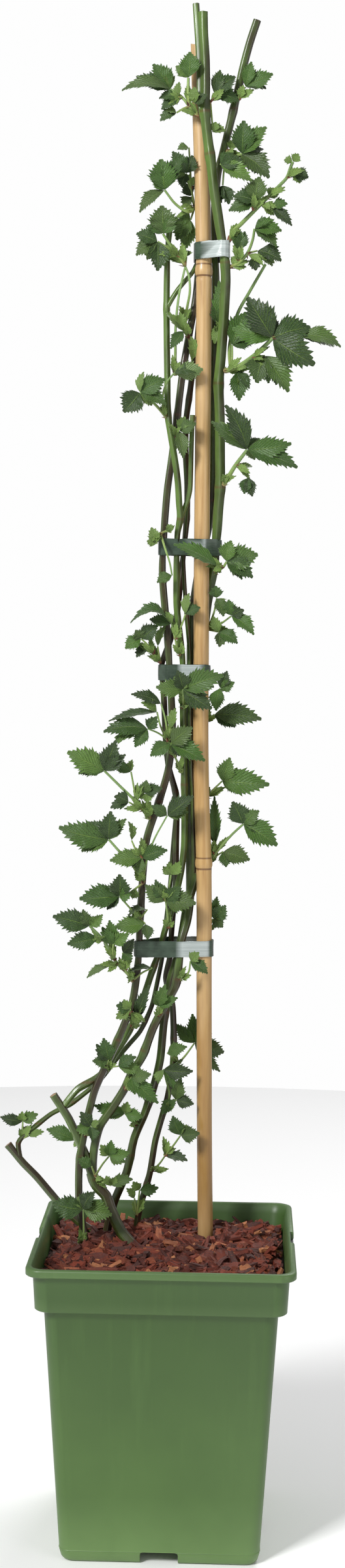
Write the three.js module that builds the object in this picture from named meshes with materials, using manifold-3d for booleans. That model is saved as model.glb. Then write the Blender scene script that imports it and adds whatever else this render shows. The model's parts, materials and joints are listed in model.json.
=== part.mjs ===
// A bramble in a square nursery pot, tied to a bamboo cane.
// Millimetres, +Z up. The origin is the middle of the pot's underside, and -Y is the front.
import * as THREE from 'three';
import * as BufferGeometryUtils from 'three/addons/utils/BufferGeometryUtils.js';
import Module from 'manifold-3d';

const wasm = await Module();
wasm.setup();

// ---------------------------------------------------------------- driving dimensions
const POT_HEIGHT = 241.7;
const RIM_HALF = 105; // half of the 210 mm rim
const LIP_HEIGHT = 6.4;
const LIP_LEDGE = 4.6; // flat top of the rim, from the outside to the opening
const LIP_BLEND = 1.5; // the inside narrows to the collar this far below the lip
const COLLAR_TOP_HALF = 99.8;
const COLLAR_BOTTOM_HALF = 98.3;
const COLLAR_DEPTH = 35.4; // from the rim's top down to the step
const BODY_TOP_HALF = 91.6;
const BODY_FOOT_HALF = 78.8;
const WALL = 1.9;
const CORNER_RADIUS = 10;
const SKIRT_HEIGHT = 9.5; // the floor stands this far above the table
const SKIRT_INSET = 4.5; // the foot ring's outside, inside the body's line
const SKIRT_WALL = 0.3; // how much thicker the foot ring is than the wall, at the table
const SKIRT_DRAFT = 0.2; // the foot ring is this much thinner at the table than at the floor
const CHAMFER = { inset: 1.3, height: 2.6 }; // turn of the foot ring into the body
const BODY_START = 8; // the body's straight taper starts here
const INNER_STEP_DROP = 4; // the step inside the wall is this much sloped
const FLOOR = 2.5;
const NOTCH_WIDTH = 30; // drain gaps in the middle of each bottom edge
const NOTCH_HEIGHT = 10;
const PAD_HALF = 14; // the small foot under the middle of the floor
const DRAIN_RADIUS = 4;
const DRAIN_OFFSET = 45;
const DRAIN_SIDES = 10;
const CUT_PAST = 1; // cutting blocks reach this far past the face they cut
const MIDDLE_KEPT = 130; // drain gaps cut only the foot ring, outside this square
const SLOT = { from: -16, to: 15, width: 3, height: 7 }; // gap in each side of the lip
const GAP = 0.3; // clearance between neighbouring pieces

const COMPOST_TOP = 208.3;
const BARK_EDGE = 221; // bark mulch at the wall
const BARK_CROWN = 228; // bark mulch in the middle
const BARK_SHOULDER = { across: 0.7, rise: 0.75 }; // shares of the way out and up the heap
const BARK_TOP_SHARE = 0.35; // the flat crown's half width as a share of the whole
const FOOT_Z = COMPOST_TOP + GAP; // the canes stand on the root ball

const BAMBOO_RADIUS = 6.4;
const BAMBOO_BORE = 2.2;
const TIE_HEIGHT = 13;
const TIE_THICKNESS = 0.9;
const TIE_SLACK = 0.5;
const BLADE_THICKNESS = 1.2;
const FOLD = 0.24; // slope of a leaflet's two halves up from its midrib
const PETIOLE_RADIUS = 0.9;
const JOINT_RADIUS = 2; // the knuckle where leaflets meet their stalk
const LARGE_BLADE = 15; // leaflets this wide get two stations along the midrib

// Points of the plant are [x, y, z]. y is the real depth. x and z are where the point shows on the
// pot's upright middle plane to an eye in front of it, and place() follows that line of sight to y.
const EYE = new THREE.Vector3(60, -1659, 720);

function place([x, y, z]) {
  const reach = 1 - y / EYE.y;
  return new THREE.Vector3(EYE.x + (x - EYE.x) * reach, y, EYE.z + (z - EYE.z) * reach);
}

// ---------------------------------------------------------------- solids
function solidOf(geometry) {
  const bare = geometry.clone();
  bare.deleteAttribute('normal');
  bare.deleteAttribute('uv');
  const merged = BufferGeometryUtils.mergeVertices(bare, 1e-4);
  const vertProperties = new Float32Array(merged.attributes.position.array);
  const triVerts = new Uint32Array(merged.index.array);
  return new wasm.Manifold(new wasm.Mesh({ numProp: 3, vertProperties, triVerts }));
}

function geometryOf(solid) {
  const mesh = solid.getMesh();
  const geometry = new THREE.BufferGeometry();
  geometry.setAttribute('position', new THREE.BufferAttribute(new Float32Array(mesh.vertProperties), 3));
  geometry.setIndex(new THREE.BufferAttribute(new Uint32Array(mesh.triVerts), 1));
  geometry.computeVertexNormals();
  return geometry;
}

function joined(solids) {
  return solids.reduce((sum, solid) => sum.add(solid));
}

function largestOf(solid) {
  const pieces = solid.decompose();
  return pieces.reduce((best, piece) => (piece.volume() > best.volume() ? piece : best));
}

function triangles(points, faces) {
  const geometry = new THREE.BufferGeometry();
  geometry.setAttribute('position', new THREE.Float32BufferAttribute(points.flat(), 3));
  geometry.setIndex(faces.flat());
  return geometry;
}

function regularSection(radius, sides) {
  const corners = [];
  for (let i = 0; i < sides; i += 1) {
    const angle = (2 * Math.PI * i) / sides;
    corners.push(new THREE.Vector2(radius * Math.cos(angle), radius * Math.sin(angle)));
  }
  return new THREE.Shape(corners);
}

function tube(points, radius, sides, stepLength) {
  const route = new THREE.CatmullRomCurve3(points);
  const steps = Math.max(2, Math.round(route.getLength() / stepLength));
  const settings = { steps, extrudePath: route, bevelEnabled: false };
  return solidOf(new THREE.ExtrudeGeometry(regularSection(radius, sides), settings));
}

// ---------------------------------------------------------------- square, round-cornered rings
function squareRing(half, z) {
  const centre = half - CORNER_RADIUS;
  const ring = [];
  const steps = 3;
  for (let corner = 0; corner < 4; corner += 1) {
    const turn = (corner * Math.PI) / 2;
    for (let i = 0; i <= steps; i += 1) {
      const angle = turn + (i * Math.PI) / 2 / steps;
      const cx = corner === 0 || corner === 3 ? centre : -centre;
      const cy = corner < 2 ? centre : -centre;
      ring.push([cx + CORNER_RADIUS * Math.cos(angle), cy + CORNER_RADIUS * Math.sin(angle), z]);
    }
  }
  return ring;
}

// A closed solid through rings that run up the outside and, for a shell, down the inside.
function loft(profile) {
  const rings = profile.map(([half, z]) => squareRing(half, z));
  const count = rings[0].length;
  const points = rings.flat();
  const faces = [];
  for (let r = 0; r + 1 < rings.length; r += 1) {
    for (let i = 0; i < count; i += 1) {
      const a = r * count + i;
      const b = r * count + ((i + 1) % count);
      faces.push([a, b, b + count], [a, b + count, a + count]);
    }
  }
  const first = points.push([0, 0, profile[0][1]]) - 1;
  const last = points.push([0, 0, profile[profile.length - 1][1]]) - 1;
  const top = (rings.length - 1) * count;
  for (let i = 0; i < count; i += 1) {
    const next = (i + 1) % count;
    faces.push([first, next, i], [last, top + i, top + next]);
  }
  return solidOf(triangles(points, faces));
}

function box(width, depth, height, x, y, z) {
  return solidOf(new THREE.BoxGeometry(width, depth, height).translate(x, y, z));
}

function potSolid() {
  const step = POT_HEIGHT - COLLAR_DEPTH;
  const lipBottom = POT_HEIGHT - LIP_HEIGHT;
  const openingHalf = RIM_HALF - LIP_LEDGE;
  const floorTop = SKIRT_HEIGHT + FLOOR;
  const bodyHalf = (z) => BODY_FOOT_HALF + ((BODY_TOP_HALF - BODY_FOOT_HALF) * z) / step;
  const footInside = BODY_FOOT_HALF - WALL - SKIRT_INSET - SKIRT_WALL;
  let pot = loft([
    [footInside + SKIRT_DRAFT, SKIRT_HEIGHT],
    [footInside, 0],
    [BODY_FOOT_HALF - SKIRT_INSET, 0],
    [BODY_FOOT_HALF - CHAMFER.inset, CHAMFER.height],
    [bodyHalf(BODY_START), BODY_START],
    [BODY_TOP_HALF, step],
    [COLLAR_BOTTOM_HALF, step],
    [COLLAR_TOP_HALF, lipBottom],
    [RIM_HALF, lipBottom],
    [RIM_HALF, POT_HEIGHT],
    [openingHalf, POT_HEIGHT],
    [COLLAR_TOP_HALF - WALL, lipBottom - LIP_BLEND],
    [COLLAR_BOTTOM_HALF - WALL, step + WALL],
    [BODY_TOP_HALF - WALL, step + WALL - INNER_STEP_DROP],
    [bodyHalf(floorTop) - WALL, floorTop],
  ]);
  const padHeight = SKIRT_HEIGHT + FLOOR / 2.5; // runs a little into the floor
  pot = pot.add(box(PAD_HALF * 2, PAD_HALF * 2, padHeight, 0, 0, padHeight / 2));
  const across = RIM_HALF * 2;
  const notchHeight = NOTCH_HEIGHT + CUT_PAST;
  const notchCentre = notchHeight / 2 - CUT_PAST;
  const notches = box(NOTCH_WIDTH, across, notchHeight, 0, 0, notchCentre).add(
    box(across, NOTCH_WIDTH, notchHeight, 0, 0, notchCentre),
  );
  const keepMiddle = box(MIDDLE_KEPT, MIDDLE_KEPT, 4 * NOTCH_HEIGHT, 0, 0, 0);
  const holes = [-1, 1].flatMap((sx) =>
    [-1, 1].map((sy) => {
      const drain = new THREE.CylinderGeometry(DRAIN_RADIUS, DRAIN_RADIUS, 8 * FLOOR, DRAIN_SIDES);
      drain.rotateX(Math.PI / 2).translate(sx * DRAIN_OFFSET, sy * DRAIN_OFFSET, floorTop);
      return solidOf(drain);
    }),
  );
  const slots = [-1, 1].map((side) => {
    const depth = SLOT.to - SLOT.from;
    const x = side * (RIM_HALF + (CUT_PAST - SLOT.width) / 2);
    const z = POT_HEIGHT + (CUT_PAST - SLOT.height) / 2;
    return box(SLOT.width + CUT_PAST, depth, SLOT.height + CUT_PAST, x, (SLOT.from + SLOT.to) / 2, z);
  });
  return pot.subtract(joined([notches.subtract(keepMiddle), ...holes, ...slots]));
}

function compostSolid() {
  const step = POT_HEIGHT - COLLAR_DEPTH;
  const floorTop = SKIRT_HEIGHT + FLOOR;
  const footHalf = BODY_FOOT_HALF + ((BODY_TOP_HALF - BODY_FOOT_HALF) * floorTop) / step;
  const inset = WALL + GAP;
  return loft([
    [footHalf - inset, floorTop + GAP],
    [BODY_TOP_HALF - inset, step + WALL - INNER_STEP_DROP],
    [COLLAR_BOTTOM_HALF - inset - 1, COMPOST_TOP],
  ]);
}

function barkSolid() {
  const wallHalf = COLLAR_BOTTOM_HALF - WALL - GAP;
  return loft([
    [wallHalf, COMPOST_TOP + GAP],
    [wallHalf + 0.5, BARK_EDGE],
    [wallHalf * BARK_SHOULDER.across, BARK_EDGE + BARK_SHOULDER.rise * (BARK_CROWN - BARK_EDGE)],
    [wallHalf * BARK_TOP_SHARE, BARK_CROWN],
  ]);
}

// ---------------------------------------------------------------- bamboo cane and bramble canes
const BAMBOO = [
  [35, 51, 120], [32.7, 45, 238], [31, 41, 320], [29.5, 35, 430], [28, 28.5, 545], [25.7, 25.5, 600],
  [24.4, 23, 650], [24, 20, 720], [23.6, 16.5, 780], [23.5, 13, 845], [23.3, 9.5, 910], [23.2, 6.5, 980],
  [22.8, 4, 1020], [21.6, 2, 1060], [20.3, 0, 1100], [18.3, -3, 1150], [16.8, -5, 1194],
];

// name: list of [radius, points, rooted], the parts of one cane that grew together.
const CANES = {
  cane_left: [
    [2.7, [
      [-65, 10, 228], [-71, 14, 268], [-71, 16, 300], [-67, 18, 325], [-59, 19, 359], [-42.4, 20, 397],
      [-29, 21, 432], [-24.5, 21, 465], [-22.9, 21, 505], [-18.5, 20, 565], [-9.4, 20, 594],
      [-1.5, 19, 622], [1.5, 17, 650], [0, 15, 685], [-3.5, 14, 732], [-7.8, 12, 780], [-7, 9, 808],
      [-4.5, 7, 845], [-1, 7, 872], [3, 8, 905], [7, 9, 940], [12, 12, 970], [17, 15, 1000],
      [20, 14, 1050], [20.5, 13, 1085],
    ], true],
  ],
  cane_middle: [
    [4.2, [[-24, 7, 228], [-36, 12, 243], [-45, 16, 262], [-49, 18, 273], [-56.5, 20, 281],
      [-61, 21, 292]], true],
    [3.2, [[-60, 21, 289], [-66, 20, 306], [-71, 19, 317], [-80, 17, 336], [-92.7, 14, 355.5]], false],
    [3, [
      [-60, 21, 288], [-60, 21, 300], [-59, 21, 312], [-54.5, 22, 330], [-44, 23, 346], [-34.5, 24, 361.5],
      [-29.5, 24, 373], [-20.5, 25, 388], [-11.7, 25, 412], [-2.8, 25, 430], [6.2, 24, 447], [8.7, 24, 465],
      [11, 24, 485], [15, 30, 500], [17, 35, 515], [16.5, 36, 560], [15.5, 33, 608], [15, 31, 660],
      [15.5, 30, 718], [17.5, 29, 755], [22, 28, 785], [28, 26, 812], [31, 22, 838], [32, 20, 865],
      [32, 18, 900], [32, 16, 950], [32.5, 13, 1000], [31.5, 11, 1040], [31, 8, 1070], [33, 5, 1095],
      [36.5, 3, 1108], [40.5, 1, 1125], [44.5, -1, 1142], [48.5, -3, 1160], [53, -5, 1180],
      [57.3, -6, 1196], [62.7, -8, 1212.5],
    ], false],
  ],
  cane_right: [
    [3.7, [
      [33, 58, 252], [31.5, 54, 330], [29.5, 50, 430], [28, 45, 545], [25.5, 40, 610], [24.5, 35, 680],
      [25.5, 31, 730], [29.5, 26, 765], [33.5, 21, 785], [35.3, 17, 808], [36.5, 13, 830],
      [37.8, 11, 848], [37.5, 10, 868], [36.8, 8, 905], [35.6, 7, 930], [37, 5, 948], [38.5, 3, 970],
      [39.6, 0, 992], [40.3, -3, 1012], [39, -7, 1031], [36, -9, 1047], [33.5, -10.5, 1062],
      [30.5, -12, 1080], [28, -13, 1100], [24.7, -14, 1122], [22.4, -15, 1142], [22.5, -15.5, 1162],
      [22, -16, 1182], [20.5, -17, 1202], [20, -17, 1218.5],
    ], true],
    [2.7, [[21.5, -14, 1137], [18.9, -13.5, 1150], [18.2, -13.5, 1170], [17.3, -13, 1188], [14.4, -14, 1225]],
      false],
  ],
  cane_cut: [
    [3, [
      [-48, 60, 243], [-42.7, 56, 267], [-32, 50, 294], [-26, 46, 322], [-17.8, 43, 342], [-11, 41, 363],
      [-5.8, 39, 386], [-3, 38, 417], [2.2, 37, 453], [5.2, 37, 463], [8.5, 37, 478], [12, 37, 497],
      [14.5, 36.5, 512], [19, 34, 525], [23, 33, 538.5],
    ], true],
    [1.6, [
      [19.5, 34, 529], [20, 33, 546], [18.8, 31.5, 575], [18, 29, 605], [16.8, 25, 628], [15.5, 22, 660],
      [14.5, 21, 718], [12, 20, 745], [9, 18, 790], [11, 17, 815], [12.5, 16, 842],
    ], false],
  ],
  cane_dark: [
    [2.3, [
      [-24.5, 55, 241], [-22.5, 53, 256], [-19.4, 51, 270], [-13.3, 48, 292], [-9, 45, 319],
      [-4.3, 43, 337], [0, 42, 352], [4, 43, 375], [5.2, 45, 395], [3.8, 47, 431], [-1.5, 47, 453],
      [1.4, 47, 470], [3, 45, 500], [5.5, 41, 530], [5.5, 36, 560], [5, 32, 602], [-1, 29, 624],
      [-3.5, 26, 645], [-5.5, 24, 680], [-7.3, 22, 707], [-1.5, 24, 724], [4, 26, 745], [7, 26, 775],
      [9.5, 27, 800], [11.5, 27, 825], [11.5, 26, 850], [10, 24, 875], [10, 22, 900], [12.5, 20, 920],
      [15, 19, 940], [18, 18, 962], [19.5, 17.5, 980],
    ], true],
  ],
  cane_low_left: [
    [3, [[-56, 55, 240], [-71, 56, 251], [-83.5, 56, 262], [-94, 56, 274], [-106, 56, 288], [-117, 56, 299],
      [-129.5, 56, 314]], true],
    [1.75, [
      [-119, 56, 301], [-121, 55, 315], [-118, 53, 320], [-111, 50, 326], [-94, 44, 340], [-79, 41, 348],
      [-71, 40, 354], [-55, 39, 368], [-42, 39, 385], [-30.5, 40, 399], [-22.3, 42, 409],
      [-13, 46, 430], [-8, 51, 453], [-4, 53, 475], [-2, 51, 500], [1, 48, 530], [3, 44, 560], [5, 40, 585],
    ], false],
  ],
  cane_green: [
    [2.4, [
      [-83.7, 17, 347], [-79, 18, 353.5], [-72.5, 20, 361], [-59, 24, 369], [-50, 27, 377], [-44, 30, 388],
      [-34, 32, 404], [-22.3, 33, 430], [-13.5, 33, 457], [-9, 33, 470], [-3, 32, 492], [4, 30, 515],
      [9.5, 29, 540], [11.8, 27.5, 560], [11.5, 24.5, 608], [10, 20, 660], [9, 18, 710], [5.5, 15, 739],
      [3.8, 13, 755], [3.5, 11, 780], [3.5, 10, 800], [4, 9, 812], [6, 7, 823], [5, 4, 835],
      [4, 1, 850], [2.5, -1, 862], [0.5, -1.5, 874], [-2, -1, 888], [-4, 0, 900], [-5, 2, 915],
      [-5.3, 4, 932], [-6, 5, 960], [-6.5, 5, 985], [-6.5, 5, 1010], [-6, 3, 1035], [-4, 1, 1058],
    ], false],
    [1.8, [[5.5, 8, 820], [8.5, 9, 829], [11.5, 9, 837], [13.5, 8, 846], [14, 7, 860], [14.3, 6, 880],
      [15, 5, 905]], false],
    [1.7, [[-6.3, 5, 989], [-1, 4, 998], [3, 4, 1004], [8, 4, 1010], [14, 6, 1017], [18, 10, 1026]], false],
  ],
};

// The four plastic ties: the true height of each tape's middle, and the canes that it passes by.
const TIES = {
  tie_1_low: [473.5, []],
  tie_2_middle: [700, []],
  tie_3_upper: [801, []],
  tie_4_top: [1033.7, ['cane_green']],
};

// ---------------------------------------------------------------- leaves
// A shoot is a list of leaves. A leaf is [points of its stalk, leaflets, stalk radius], and a leaflet is
// [x, y, z of its tip, width, roll, arch]. Roll 0 faces the front, 90 the sky, and 180 shows the underside.
const SHOOTS = {
  shoot_foot_left: [
    [[[-67, 7, 233], [-67, -2, 247], [-67.5, -6, 261]],
      [[-93, -8, 266, 17, 20], [-44, -10, 257, 15, 20], [-58, -10, 276, 12, 30]]],
  ],
  shoot_fork: [
    [[[-58, 16, 289], [-52, 10, 284], [-45, 4, 281.5]],
      [[-49, 3, 289.5, 6], [-41, 2, 289, 6], [-27, 0, 287, 8, 30]]],
    [[[-58, 16, 289], [-52, 6, 299], [-46.5, 0, 306]],
      [[-30, -4, 309, 10, 20], [-45, -4, 319, 9], [-54, -2, 315, 7], [-33, -5, 301, 8, 30]]],
    [[[-58, 16, 289], [-61, 13, 297]], [[-72, 12, 303, 8, 30]]],
  ],
  shoot_foot_dark: [
    [[[-23.5, 50, 257], [-25.6, 42, 271]], [[-32.4, 40, 279.5, 5, 30]]],
    [[[-23.5, 50, 257], [-22.5, 44, 268], [-21.5, 40, 278]], [[-6, 36, 280.5, 8, 20], [-27, 38, 285, 7]]],
  ],
  shoot_dark_low: [
    [[[-11, 46, 294.5], [-5, 38, 301], [-1, 34, 307]], [[-2.8, 32, 323, 5, 50], [17.5, 30, 303, 8, 60]]],
    [[[-1, 34, 307], [6, 30, 316], [11.5, 28, 324]], [[5, 26, 340, 11], [27, 24, 326, 12, 20]]],
  ],
  shoot_low_left_tip: [
    [[[-118, 54, 319], [-117.5, 50, 333]],
      [[-136, 48, 336.5, 9, 20], [-105, 46, 339.5, 8, 10], [-118, 47, 341.5, 6]]],
    [[[-118, 54, 319], [-113, 48, 321]], [[-100, 46, 325, 6, 50]]],
  ],
  shoot_behind_stub: [
    [[[-70, 23, 314], [-75, 29, 318]], [[-98, 32, 327, 11, 30]]],
  ],
  shoot_stub: [
    [[[-66, 15, 322], [-62, 8, 330]],
      [[-70.5, 6, 342, 8], [-74, 6, 326.5, 8, 10], [-61, 3, 318, 9, 20], [-55, 5, 335, 5, 30]]],
  ],
  shoot_green_low: [
    [[[-49.5, 22, 376], [-49, 18, 380], [-48, 14, 385]],
      [[-61, 10, 384, 9, 10], [-52, 8, 403, 12], [-58, 9, 398, 8, 10]]],
    [[[-49.5, 22, 376], [-46, 18, 379], [-40, 14, 380]], [[-25, 10, 388, 8, 20], [-20, 12, 376, 10, 30]]],
  ],
  shoot_middle_low: [
    [[[-34, 20, 361], [-29, 12, 371]], [[-13, 7, 374, 10, 30], [-7, 8, 350, 12, 20], [-26, 6, 357, 9, 20]]],
  ],
  shoot_cut_low: [
    [[[-25, 43, 332], [-30, 34, 337], [-34, 30, 341]],
      [[-59, 27, 347.5, 12, 10], [-52, 26, 340, 9, 20], [-19.5, 26, 338.5, 10, 20], [-32, 27, 351, 7]]],
  ],
  shoot_dark_mid: [
    [[[0, 39, 346], [7.5, 32, 353]], [[22, 28, 350, 10, 20], [11, 27, 372, 10], [-4, 29, 341, 8, 30]]],
    [[[0, 39, 346], [2, 35, 358], [-1, 30, 370], [-3, 27, 378]],
      [[21, 22, 377, 12, 20], [5, 24, 362, 8, 40], [-7, 22, 366, 7, 40]]],
  ],
  shoot_behind_bamboo: [
    [[[9, 45, 383], [7, 38, 387], [0, 32, 391.5]], [[16, 25, 397, 10, 20]]],
    [[[9, 45, 383], [15, 49, 390], [22, 55, 400]],
      [[6, 55, 416, 10], [20, 56, 424, 11], [46, 60, 393, 16], [35, 58, 413, 13], [43, 58, 377, 9, 10]]],
  ],
  shoot_left_low: [
    [[[-33, 17, 421], [-31, 10, 425], [-30.5, 6, 427]],
      [[-42, 4, 419, 7, 20], [-42, 4, 430, 8, 10], [-36, 3, 435, 6]]],
    [[[-29, 30, 412], [-25, 24, 418]], [[-18, 20, 436, 7, 40], [-15, 18, 447, 9, 20]]],
    [[[-31, 10, 425], [-27, 16, 420], [-25, 24, 418]], [[-24, 22, 427, 6, 20]]],
  ],
  shoot_middle_mid: [
    [[[-7, 22, 422], [-8, 14, 430]], [[-10, 10, 442, 9, 20], [-2, 8, 448, 8, 20], [8, 10, 437, 9, 20]]],
  ],
  shoot_big_left: [
    [[[-29, 18, 450], [-32, 12, 455], [-43.5, 4, 467], [-52.5, -2, 483], [-64, -7, 494.5]],
      [[-94, -10, 502, 16, 15], [-53.5, -12, 504, 9], [-69.5, -12, 508, 9]], 1.4],
    [[[-52.5, -2, 483], [-57, -5, 485]], [[-82, -7, 479.5, 13, 25]]],
    [[[-43.5, 4, 467], [-45, 0, 474], [-44.6, -2, 480]],
      [[-48, -5, 499.5, 10], [-54, -5, 494, 8], [-32, -6, 488.5, 10, 15]]],
    [[[-35, 10, 458], [-37, 4, 473]], [[-28, 0, 484.5, 9], [-30, 0, 467, 8, 20]]],
    [[[-41, 6, 464], [-46.5, 1, 462.5]], [[-66, -1, 452, 9, 60]]],
    [[[-29, 18, 450], [-21, 15, 457], [-13, 14, 461]], [[-32, 9, 457.5, 9, 65]]],
  ],
  shoot_bamboo_low: [
    [[[10, 21, 452], [16.5, 14, 458], [18, 10, 467]], [[32, 5, 457, 10, 25], [25, 6, 474.5, 7, 20]]],
  ],
  shoot_right_low: [
    [[[31, 45, 490], [36, 40, 502]], [[46, 36, 513, 12], [44, 37, 495, 10, 20], [39, 37, 520, 9]]],
  ],
  shoot_left_mid: [
    [[[-23.5, 17, 501], [-30.5, 11, 508.5], [-40, 6, 519]],
      [[-72.5, 2, 516.5, 18, 20], [-40, 0, 537, 15], [-50, 3, 508, 9, 20], [-30, 1, 521, 8, 10]]],
    [[[-23.5, 17, 501], [-19, 12, 497]], [[-44, 6, 494, 14, 25], [-17, 8, 484, 9, 20]]],
    [[[-23.5, 17, 501], [-17.5, 12, 508.5]], [[-33, 8, 502.5, 8, 60]]],
  ],
  shoot_hairy: [
    [[[0, 28, 494], [-1, 20, 505], [-2.5, 13, 515.5]],
      [[-19, 10, 528.5, 13], [-11, 8, 533, 10], [22, 5, 514, 17, 20], [9, 6, 528, 12]]],
    [[[-2.5, 13, 515.5], [0, 11, 527], [1.5, 10, 537]],
      [[-5, 9, 544, 5], [0, 9, 548, 5], [8.5, 8, 548, 7]]],
  ],
  shoot_left_node: [
    [[[-21, 16, 530], [-21, 12, 540], [-22, 8, 550.5]],
      [[-48, 4, 548, 13, 30], [-25, 6, 537, 9, 20], [-1.5, 4, 557, 12, 20], [-23, 6, 567, 6, 40]]],
    [[[-22, 8, 550.5], [-27, 8, 557], [-30.5, 7, 564.5]], [[-33.5, 6, 580, 7, 50]]],
    [[[-21, 16, 530], [-32, 10, 522]], [[-24, 8, 519, 6, 20]]],
    [[[-21, 16, 530], [-30, 11, 545], [-39.5, 6, 554.5], [-49, 4, 565]],
      [[-89.5, 0, 574.5, 19, 20], [-47.5, -2, 588, 15], [-35, 0, 582, 10], [-71, 2, 555, 14, 30]], 1.3],
    [[[-21, 16, 530], [-19, 12, 545], [-13, 12, 564], [-2, 8, 585]],
      [[-14.5, 5, 593, 9], [19, 2, 601, 14, 20], [15, 4, 588, 10, 20]]],
  ],
  shoot_right_mid: [
    [[[31, 42, 545], [36.5, 38, 554], [50, 32, 570], [59.5, 28, 579]],
      [[50.5, 25, 597, 15], [87, 22, 562, 18, 20], [72, 24, 590, 12, 20]], 1.2],
    [[[31, 42, 545], [37, 40, 552], [43.5, 38, 556.5]], [[65, 36, 550, 14, 20], [46, 36, 544, 10, 20]]],
    [[[36.5, 38, 554], [37, 38, 562]], [[40, 37, 582, 8, 40], [36, 38, 601, 9, 10]]],
  ],
  shoot_left_top_node: [
    [[[-16, 17, 582], [-26.5, 11, 595], [-40, 6, 608], [-53, 0, 620.5]],
      [[-83, -4, 635.5, 18, 20], [-44, -6, 645, 14], [-36, -4, 634, 10], [-74, -2, 618, 13, 30]], 1.3],
    [[[-26.5, 11, 595], [-29, 8, 607], [-31.5, 6, 620]], [[-30.5, 5, 630, 5, 30], [-47.5, 4, 626, 9, 20]]],
    [[[-22, 13, 589], [-33, 8, 595.5]], [[-45, 6, 600, 8, 20], [-48, 6, 590.5, 8, 30]]],
    [[[-16, 17, 582], [-18, 12, 592], [-20, 10, 602.5]],
      [[-19, 7, 613.5, 9], [-27, 8, 601, 6], [-18, 7, 595, 7, 20], [-6, 6, 607, 9, 20]]],
  ],
  shoot_right_high: [
    [[[29, 38, 600], [32, 35, 603.5], [42, 30, 613.5]],
      [[48, 26, 632.5, 13], [80, 20, 611, 19, 20], [57, 26, 603, 11, 25]]],
  ],
  shoot_front: [
    [[[9, 20, 620], [5, 14, 630], [0, 8, 639], [0.5, 5, 643]],
      [[-16, 2, 633, 11, 20], [17.5, -2, 656.5, 14], [28, 0, 629.5, 14, 25]]],
    [[[4, 13, 632], [-2, 12, 645], [-9, 10, 651], [-18.5, 8, 655]],
      [[-54, 2, 652, 15, 25], [-28.5, 4, 640, 11, 20], [-11, 4, 665, 8], [-47, 4, 641, 8, 40]]],
    [[[-2, 12, 645], [0, 9, 655]], [[4, 7, 672, 6, 20]]],
    [[[-2, 12, 645], [-8, 12, 657], [-11, 12, 668.5]], [[-50, 4, 660.5, 10, 60], [-24, 6, 676, 7, 30]]],
    [[[-2, 12, 645], [-4, 13, 662], [-7.7, 14, 675]], [[-32, 6, 682.5, 10, 25]]],
  ],
  shoot_right_far: [
    [[[27, 33, 660], [35, 27, 667]], [[73, 20, 663.5, 16, 20], [52, 24, 657, 10, 30]]],
    [[[27, 33, 660], [30, 31, 676], [39.5, 26, 688]],
      [[45, 24, 702, 9], [51, 22, 693, 9, 10], [36.5, 22, 670, 11, 10]]],
  ],
  shoot_over_tie: [
    [[[9.8, 16, 672], [10, 6, 680], [9.7, 0, 687]],
      [[42, -8, 698.5, 17, 10], [33, -6, 671.5, 15, 15], [5, -6, 702, 12], [-12, -4, 688.5, 13, 15]]],
  ],
  shoot_left_arm: [
    [[[-8.5, 18, 708], [-14, 14, 714], [-19, 11, 720]], [[-28, 9, 712, 8, 25]]],
    [[[-14, 14, 714], [-19, 10, 722], [-24.3, 8, 727]],
      [[-37, 5, 719, 11, 20], [-29, 5, 734, 9], [-11, 4, 738, 12, 20]]],
    [[[-8.5, 18, 708], [-11, 13, 721]], [[-4.5, 11, 738, 6, 40]]],
  ],
  shoot_arch: [
    [[[7, 14, 714], [3, 6, 727], [0, 3, 739]], [[-33, -3, 739.5, 14, 55, 0.35], [-5, 1, 749, 5, 30]]],
    [[[3, 6, 727], [8, 5, 738], [11, 4, 747]], [[23, 3, 752.5, 9, 20], [14, 6, 764, 6, 30]]],
  ],
  shoot_right_pair: [
    [[[29, 28, 735], [39, 22, 739.5], [48, 16, 746]],
      [[45.5, 13, 759, 10], [58, 12, 751, 8], [66, 8, 731, 12, 20]]],
    [[[29, 28, 735], [38, 20, 733]], [[38.5, 17, 721, 8, 20], [53, 17, 724, 11, 20], [33.5, 18, 745.5, 7]]],
    [[[29, 28, 735], [34, 22, 749], [36, 15, 760]], [[41.5, 12, 745.5, 11, 20], [35, 13, 770, 8]]],
  ],
  shoot_tie_right: [
    [[[34.5, 16, 781], [38, 9, 783], [41, 5, 785], [43.5, 2, 789]],
      [[68.5, -2, 795, 18, 10], [64.5, -3, 776.5, 14, 20], [56, -2, 775, 10, 30], [47, 2, 806, 12]], 1.3],
    [[[41, 5, 785], [36, 1, 786]], [[1, -8, 802.5, 12, 25]]],
  ],
  shoot_tie_left: [
    [[[-9.5, 5, 811], [-12, 2, 807], [-12.5, 0, 803]], [[-17, 0, 816, 7, 10], [-20.5, 0, 805, 6, 20]]],
    [[[-9.5, 5, 811], [-6, -3, 800], [-2, -3, 788], [0, 1, 778]], [[-12, -1, 772, 9, 20]]],
    [[[-9.5, 5, 811], [-5, 3, 813], [-1, 2, 812]], [[-4, 1, 818.5, 6, 20]]],
  ],
  shoot_right_cluster: [
    [[[40.5, 8, 850], [44, 3, 856], [50, -2, 866], [59, -8, 878]],
      [[65, -11, 870, 9, 20], [99, -16, 864, 18, 25], [94, -14, 883, 15, 10], [30, -12, 900, 12, 20],
        [41, -14, 913, 15]], 1.8],
    [[[50, -2, 866], [59, -1, 863], [60, -1, 856]], [[57, -1, 843, 9, 15], [63.5, -2, 841, 9]], 0.6],
  ],
  shoot_bright_low: [
    [[[1.5, 4, 888], [2, 0, 890], [4, -4, 893]],
      [[18, -6, 898.5, 11, 20], [9, -5, 904, 7], [8, -6, 871, 10, 10]]],
  ],
  shoot_left_wing: [
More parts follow.
